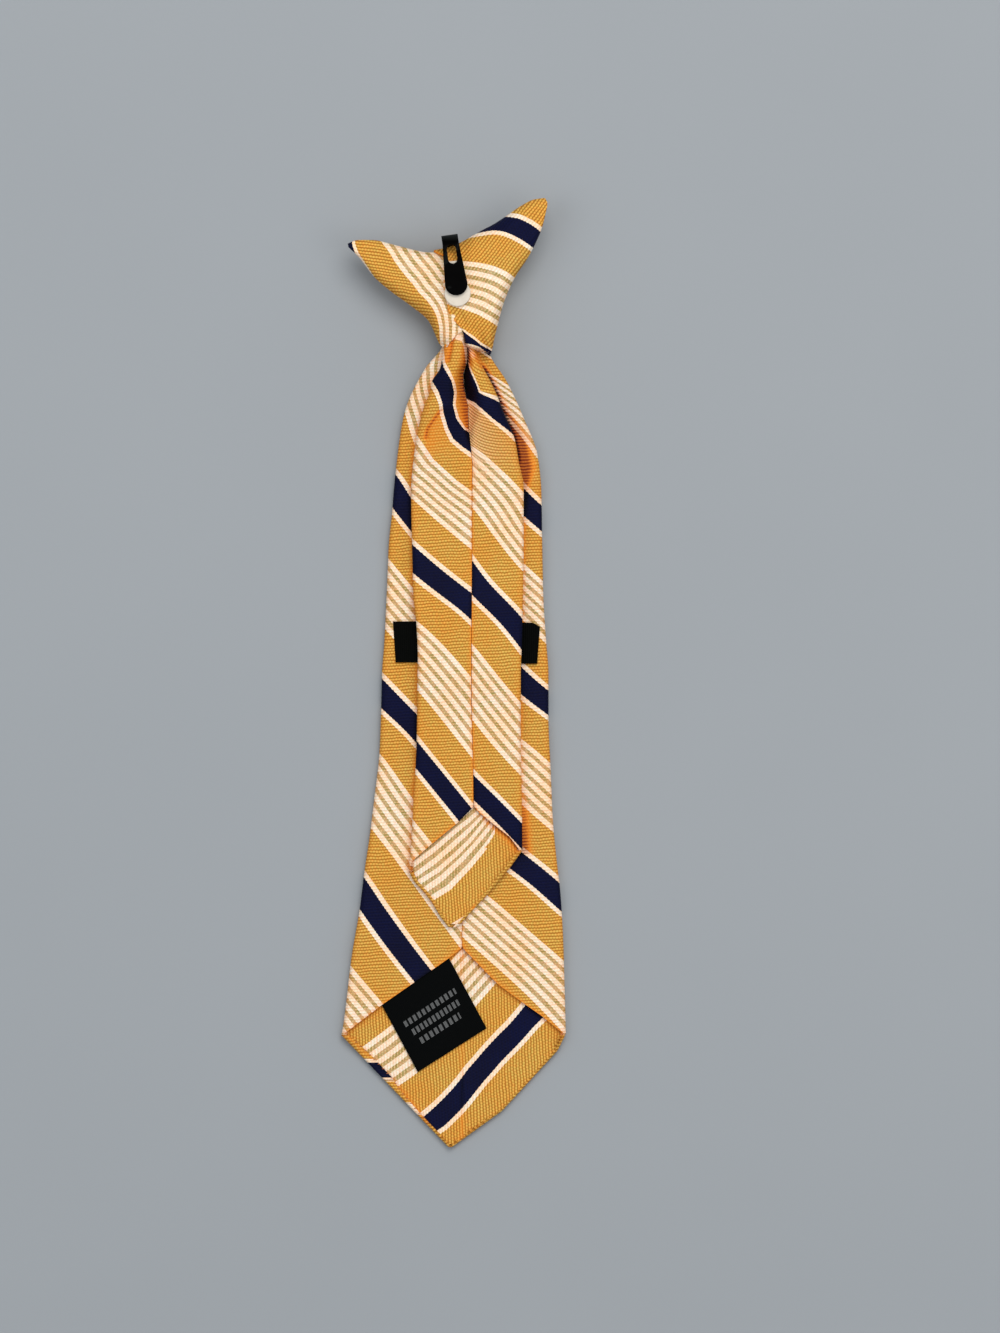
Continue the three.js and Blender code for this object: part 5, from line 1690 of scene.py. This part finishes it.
def pad_plate(name):
    outline = [(-x, y) for x, y in PAD_NECK]
    for angle in np.linspace(math.radians(142), math.radians(398), 45):
        low = PAD_HALF - PAD_LENGTH + PAD_HALF * math.sin(angle)
        outline.append((PAD_HALF * math.cos(angle), low))
    outline += PAD_NECK[::-1]
    mesh = bmesh.new()
    verts = []
    for x, y in outline:
        verts.append(mesh.verts.new(on_clip(x, y + PAD_START, PAD_LOW)))
    base = mesh.faces.new(verts)
    top = bmesh.ops.extrude_face_region(mesh, geom=[base])
    moved = [v for v in top["geom"] if isinstance(v, bmesh.types.BMVert)]
    bmesh.ops.translate(mesh, verts=moved, vec=(0, 0, (PAD_HIGH - PAD_LOW) * MM))
    bmesh.ops.recalc_face_normals(mesh, faces=mesh.faces)
    edges = [e for e in mesh.edges if len(e.link_faces) == 2 and e.calc_face_angle() > 1.0]
    bmesh.ops.bevel(mesh, geom=edges, offset=0.32 * MM, segments=4, affect="EDGES", profile=0.5)
    data = bpy.data.meshes.new(name)
    mesh.to_mesh(data)
    mesh.free()
    data.polygons.foreach_set("use_smooth", np.ones(len(data.polygons), bool))
    data.set_sharp_from_angle(angle=math.radians(40))
    return placed(name, data)


def ivory_plastic():
    material, tree, shader = start_material("ivory_plastic")
    place = object_place(tree)
    cloudy = noise(tree, place, 420.0, 4.0)
    tree.links.new(mix_colour(tree, cloudy, *IVORY), shader.inputs["Base Color"])
    tree.links.new(math_node(tree, "MULTIPLY_ADD", cloudy, 0.3, 0.32), shader.inputs["Roughness"])
    add_bump(tree, shader, noise(tree, place, 2200.0, 2.0), 0.2, 0.00006)
    return material


pad = pad_plate("clip_pad_plate")
pad.data.materials.append(ivory_plastic())
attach(pad, "root")
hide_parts("clip_pad")

# %% [markdown]
# ## The keeper band
# A black grosgrain ribbon lies across the blade's back, and the tail lies on it. Its ends are
# turned under. Grosgrain has firm ribs across its width, which the material draws.

# %% Ribbon material
def ribbon_cloth(name, colour, rib, thread, dashes=None):
    """Black woven ribbon with a little lint on it, and dashes where a function draws them."""
    material, tree, shader = start_material(name)
    cloth = uv_place(tree, "weave")
    twill = woven(tree, cloth, rib, thread, 0.03)
    groove, height, uneven = [twill.outputs[label] for label in ("Groove", "Height", "Uneven")]
    shade = mix_colour(tree, groove, colour, tuple(v * 0.35 for v in colour))
    lint = math_node(tree, "GREATER_THAN", noise(tree, cloth, 2.2, 3.0), 0.74)
    lint_colour = tuple(min(1.0, v * 4 + 0.01) for v in colour)
    shade = mix_colour(tree, times(tree, lint, 0.22), shade, lint_colour)
    if dashes is not None:
        shade = dashes(tree, cloth, shade, groove)
    tree.links.new(shade, shader.inputs["Base Color"])
    tree.links.new(math_node(tree, "MULTIPLY_ADD", uneven, 0.2, 0.55), shader.inputs["Roughness"])
    shader.inputs["Specular IOR Level"].default_value = 0.035
    add_bump(tree, shader, height, 0.6, 0.00012)
    return material


# %% Keeper
KEEPER_HALF, KEEPER_MIDDLE, KEEPER_TOP = 22.35, 3.55, 16.05
KEEPER_BLACK = (0.0012, 0.0015, 0.0010)


def keeper_ribbon(name):
    s = np.linspace(1, 0, 110)
    grid = []
    for t in np.linspace(0, 1, 26):
        y = KEEPER_TOP - 2 * BAND_HALF * t + 0.25 * np.sin(3.1 * s + 1)
        x = KEEPER_MIDDLE - KEEPER_HALF + 2 * KEEPER_HALF * s
        y = y - 1.2 * ramp(x, 23.4, 26.2) * (1 - t)
        skew = -0.85 * (t - 0.5) * (2 * s - 1)
        end = np.minimum((1 - s), s) * 2 * KEEPER_HALF
        turned_down = 0.55 * (1 - quarter_round(end / 0.6))
        z = blade_top(y) + 0.95 + 0.10 * ripple(x, y, 5.0, 3.3) - turned_down
        grid.append(np.stack([x + skew, y, z], -1))
    outer = np.stack(grid)
    inner = outer - np.array([0, 0, 0.45])
    weave = np.stack([outer[:, :, 1], outer[:, :, 0]], 2)
    return cloth_mesh(name, outer, inner, weave, weave, {})


keeper = keeper_ribbon("keeper_ribbon")
keeper.data.materials.append(ribbon_cloth("black_grosgrain", KEEPER_BLACK, 0.62, 0.31))
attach(keeper, "root")
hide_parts("keeper_band")

# %% [markdown]
# ## The woven label
# The label is a folded piece of black woven tape, tucked under the slanted flap. Its material
# draws three rows of short pale threads, as a weaver makes them, in the label's own millimetres.

# %% Label
LABEL_CORNERS = [(-1.9, -87.9), (9.8, -109.7), (-11.5, -123.3), (-22.8, -102.3)]
LABEL_WIDE, LABEL_LONG = 24.6, 24.4
# mm down the label: where the row of marks starts and ends, and from mark to mark
MARK_ROWS = {9.5: (2.9, 21.7, 1.62), 13.0: (3.9, 20.9, 1.44), 16.6: (4.7, 19.4, 1.72)}
MARK_HALF, MARK_SHARE = 0.98, 0.62  # half a mark's height, and how much of a step it fills
LABEL_BLACK, MARK_GREY = (0.0019, 0.0023, 0.0023), (0.27, 0.27, 0.265)


def label_dashes(tree, place, shade, groove):
    """Rows of short pale woven marks."""
    parts = tree.nodes.new("ShaderNodeSeparateXYZ")
    tree.links.new(place, parts.inputs[0])
    along, down = parts.outputs[0], parts.outputs[1]
    total = None
    for row, (start, end, pitch) in MARK_ROWS.items():
        off = math_node(tree, "ABSOLUTE", math_node(tree, "SUBTRACT", down, row))
        wave = math_node(tree, "FRACT", math_node(tree, "DIVIDE", along, pitch))
        mark = times(
            tree, math_node(tree, "LESS_THAN", off, MARK_HALF),
            math_node(tree, "LESS_THAN", wave, MARK_SHARE),
            math_node(tree, "GREATER_THAN", along, start), math_node(tree, "LESS_THAN", along, end),
        )
        total = mark if total is None else math_node(tree, "ADD", total, mark)
    thready = math_node(tree, "MULTIPLY_ADD", groove, -0.55, 0.62)
    return mix_colour(tree, times(tree, total, thready), shade, MARK_GREY)


def woven_label(name):
    a, b, c, d = [np.array(p) for p in LABEL_CORNERS]
    s, t = np.meshgrid(np.linspace(0, 1, 64), np.linspace(0, 1, 60), indexing="xy")
    # s from the upper right corner to the upper left one, t from the upper edge to the lower one
    place = (
        a * ((1 - s) * (1 - t))[..., None] + d * (s * (1 - t))[..., None]
        + b * ((1 - s) * t)[..., None] + c * (s * t)[..., None]
    )
    x, y = place[..., 0], place[..., 1]
    rim = np.minimum(np.minimum(s, 1 - s) * LABEL_WIDE, np.minimum(t + 0.2, 1 - t) * LABEL_LONG)
    z = 2.75 + 0.30 * np.sin(np.pi * s) * np.sin(np.pi * t) ** 0.7
    z = z + 0.12 * ripple(x, y, 5.0, 5.5) - 0.25 * (1 - quarter_round(rim / 0.7))
    outer = np.stack([x, y, z], 2)
    inner = outer - np.array([0, 0, 0.4])
    weave = np.stack([(1 - s) * LABEL_WIDE, t * LABEL_LONG], 2)
    return cloth_mesh(name, outer, inner, weave, weave, {})


label = woven_label("woven_label")
label.data.materials.append(ribbon_cloth("black_woven_tape", LABEL_BLACK, 0.36, 0.36, label_dashes))
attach(label, "root")
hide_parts("care_label")

# %% [markdown]
# ## Stitches
# A tie is sewn by hand with small slanted stitches along its hems. One tree of geometry nodes
# puts the same short thread at even steps along a line.

# %% Stitch tree
def stitch_tree():
    tree = bpy.data.node_groups.new("hem_stitches", "GeometryNodeTree")
    face = tree.interface
    face.new_socket(name="Line", in_out="INPUT", socket_type="NodeSocketGeometry")
    sizes = {"Pitch": 0.003, "Stitch length": 0.0012, "Thread radius": 0.00016, "Slant": 0.5}
    for size_name, value in sizes.items():
        socket = face.new_socket(name=size_name, in_out="INPUT", socket_type="NodeSocketFloat")
        socket.default_value = value
    face.new_socket(name="Thread", in_out="INPUT", socket_type="NodeSocketMaterial")
    face.new_socket(name="Stitches", in_out="OUTPUT", socket_type="NodeSocketGeometry")
    node = tree.nodes.new
    source, sink = node("NodeGroupInput"), node("NodeGroupOutput")
    curve = node("GeometryNodeMeshToCurve")
    spaced = node("GeometryNodeResampleCurve")
    spaced.mode = "LENGTH"
    ball = node("GeometryNodeMeshUVSphere")
    ball.inputs["Segments"].default_value = 8
    ball.inputs["Rings"].default_value = 6
    ball.inputs["Radius"].default_value = 1.0
    shaped = node("GeometryNodeTransform")
    size = node("ShaderNodeCombineXYZ")
    half, flat = node("ShaderNodeMath"), node("ShaderNodeMath")
    for part, share in ((half, 0.5), (flat, 0.8)):
        part.operation = "MULTIPLY"
        part.inputs[1].default_value = share
    turn = node("ShaderNodeCombineXYZ")
    place = node("GeometryNodeInstanceOnPoints")
    tangent = node("GeometryNodeInputTangent")
    align = node("FunctionNodeAlignRotationToVector")
    align.axis = "X"
    align.pivot_axis = "Z"
    slant = node("FunctionNodeRotateRotation")
    slant.rotation_space = "LOCAL"
    euler = node("FunctionNodeEulerToRotation")
    real = node("GeometryNodeRealizeInstances")
    smooth = node("GeometryNodeSetShadeSmooth")
    material = node("GeometryNodeSetMaterial")
    link = tree.links.new
    link(source.outputs["Line"], curve.inputs["Mesh"])
    link(curve.outputs["Curve"], spaced.inputs["Curve"])
    link(source.outputs["Pitch"], spaced.inputs["Length"])
    link(source.outputs["Stitch length"], half.inputs[0])
    link(source.outputs["Thread radius"], flat.inputs[0])
    link(half.outputs[0], size.inputs[0])
    link(source.outputs["Thread radius"], size.inputs[1])
    link(flat.outputs[0], size.inputs[2])
    link(ball.outputs["Mesh"], shaped.inputs["Geometry"])
    link(size.outputs[0], shaped.inputs["Scale"])
    link(source.outputs["Slant"], turn.inputs[2])
    link(turn.outputs[0], euler.inputs[0])
    link(tangent.outputs[0], align.inputs["Vector"])
    link(align.outputs[0], slant.inputs[0])
    link(euler.outputs[0], slant.inputs[1])
    link(spaced.outputs["Curve"], place.inputs["Points"])
    link(shaped.outputs["Geometry"], place.inputs["Instance"])
    link(slant.outputs[0], place.inputs["Rotation"])
    link(place.outputs["Instances"], real.inputs["Geometry"])
    link(real.outputs["Geometry"], smooth.inputs["Geometry"])
    link(smooth.outputs["Geometry"], material.inputs["Geometry"])
    link(source.outputs["Thread"], material.inputs["Material"])
    link(material.outputs["Geometry"], sink.inputs["Stitches"])
    return tree


STITCHES = stitch_tree()


def thread_material(name, colour):
    material, tree, shader = start_material(name)
    place = object_place(tree)
    dark, light = tuple(v * 0.7 for v in colour), tuple(min(1.0, v * 1.25) for v in colour)
    tone = mix_colour(tree, noise(tree, place, 1500.0, 2.0), dark, light)
    tree.links.new(tone, shader.inputs["Base Color"])
    shader.inputs["Roughness"].default_value = 0.6
    add_bump(tree, shader, noise(tree, place, 6000.0, 1.0), 0.4, 0.00005)
    return material


def sew(name, lines, pitch, length, radius, slant, material):
    """Stitches along lines of (x, y, z) points in mm, as one plain mesh."""
    mesh = bpy.data.meshes.new(name)
    points, edges = [], []
    for line in lines:
        start = len(points)
        points += [tuple(v * MM for v in p) for p in line]
        edges += [(start + i, start + i + 1) for i in range(len(line) - 1)]
    mesh.from_pydata(points, edges, [])
    piece = placed(name, mesh)
    modifier = piece.modifiers.new("stitches", "NODES")
    modifier.node_group = STITCHES
    values = {"Pitch": pitch * MM, "Stitch length": length * MM, "Thread radius": radius * MM,
              "Slant": math.radians(slant), "Thread": material}
    for item in STITCHES.interface.items_tree:
        if item.in_out == "INPUT" and item.name in values:
            modifier[item.identifier] = values[item.name]
    graph = bpy.context.evaluated_depsgraph_get()
    result = bpy.data.meshes.new_from_object(piece.evaluated_get(graph))
    piece.modifiers.clear()
    piece.data = result
    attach(piece, "root")
    print(name, "faces:", len(result.polygons))
    return piece


# %% Hem stitches
RUST_THREAD = thread_material("rust_thread", (0.42, 0.115, 0.035))
hem_y = np.linspace(-114.0, -139.0, 60)
hem_x = panel_edges(BLADE)[2](hem_y) - 0.15
hem_z = blade_top(hem_y) + blade_relief(hem_x, hem_y, "left")
hem_line = [tuple(float(v) for v in point) for point in zip(hem_x, hem_y, hem_z)]
hem_stitches = sew("blade_hem_stitches", [hem_line], 1.9, 0.85, 0.14, 55, RUST_THREAD)

# %% [markdown]
# ## Floor and light
# The surface is a plain grey board. Daylight comes mostly from above the picture, wide and soft,
# with weaker fills from both sides, so the raised wings throw only faint shadows below them.

# %% Floor
BOARD = (0.300, 0.315, 0.329), (0.318, 0.333, 0.347)


def floor_material():
    material, tree, shader = start_material("grey_board")
    mottled = noise(tree, object_place(tree), 9.0, 3.0)
    tree.links.new(mix_colour(tree, mottled, *BOARD), shader.inputs["Base Color"])
    shader.inputs["Roughness"].default_value = 0.7
    shader.inputs["Specular IOR Level"].default_value = 0.2
    return material


floor_mesh = bpy.data.meshes.new("floor")
floor_mesh.from_pydata([(-3, -3, 0), (3, -3, 0), (3, 3, 0), (-3, 3, 0)], [], [(0, 1, 2, 3)])
floor = placed("floor", floor_mesh)
floor_mesh.materials.append(floor_material())
floor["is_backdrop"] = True

# %% Lights
def area_light(name, place, look_at, size, power, colour):
    data = bpy.data.lights.new(name, "AREA")
    data.shape = "DISK"
    data.size = size
    data.energy = power
    data.color = colour
    lamp = bpy.data.objects.new(name, data)
    lamp.location = place
    from_to = np.array(look_at, float) - np.array(place, float)
    tilt = math.atan2(math.hypot(from_to[0], from_to[1]), -from_to[2])
    lamp.rotation_euler = (tilt, 0, math.atan2(from_to[1], from_to[0]) - math.pi / 2)
    bpy.context.collection.objects.link(lamp)
    return lamp


area_light("window", (0.25, 0.85, 1.45), (0, 0, 0), 1.1, 16.0, (1.0, 0.985, 0.96))
area_light("fill_left", (-0.9, 0.1, 1.2), (0, 0, 0), 1.0, 3.5, (0.95, 0.97, 1.0))
area_light("fill_right", (0.9, -0.2, 1.2), (0, 0, 0), 1.0, 3.5, (1.0, 0.98, 0.96))
world = bpy.data.worlds.new("studio")
world.use_nodes = True
sky = world.node_tree.nodes["Background"]
sky.inputs["Color"].default_value = (0.80, 0.86, 0.92, 1)
sky.inputs["Strength"].default_value = 0.62
bpy.context.scene.world = world

# %% Measure and finish
visual_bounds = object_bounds()
for axis, name in enumerate("xyz"):
    cad, visual = [[round(c[axis] * 1000, 1) for c in box] for box in (CAD_BOUNDS, visual_bounds)]
    print(name, "CAD", cad, "visual", visual)
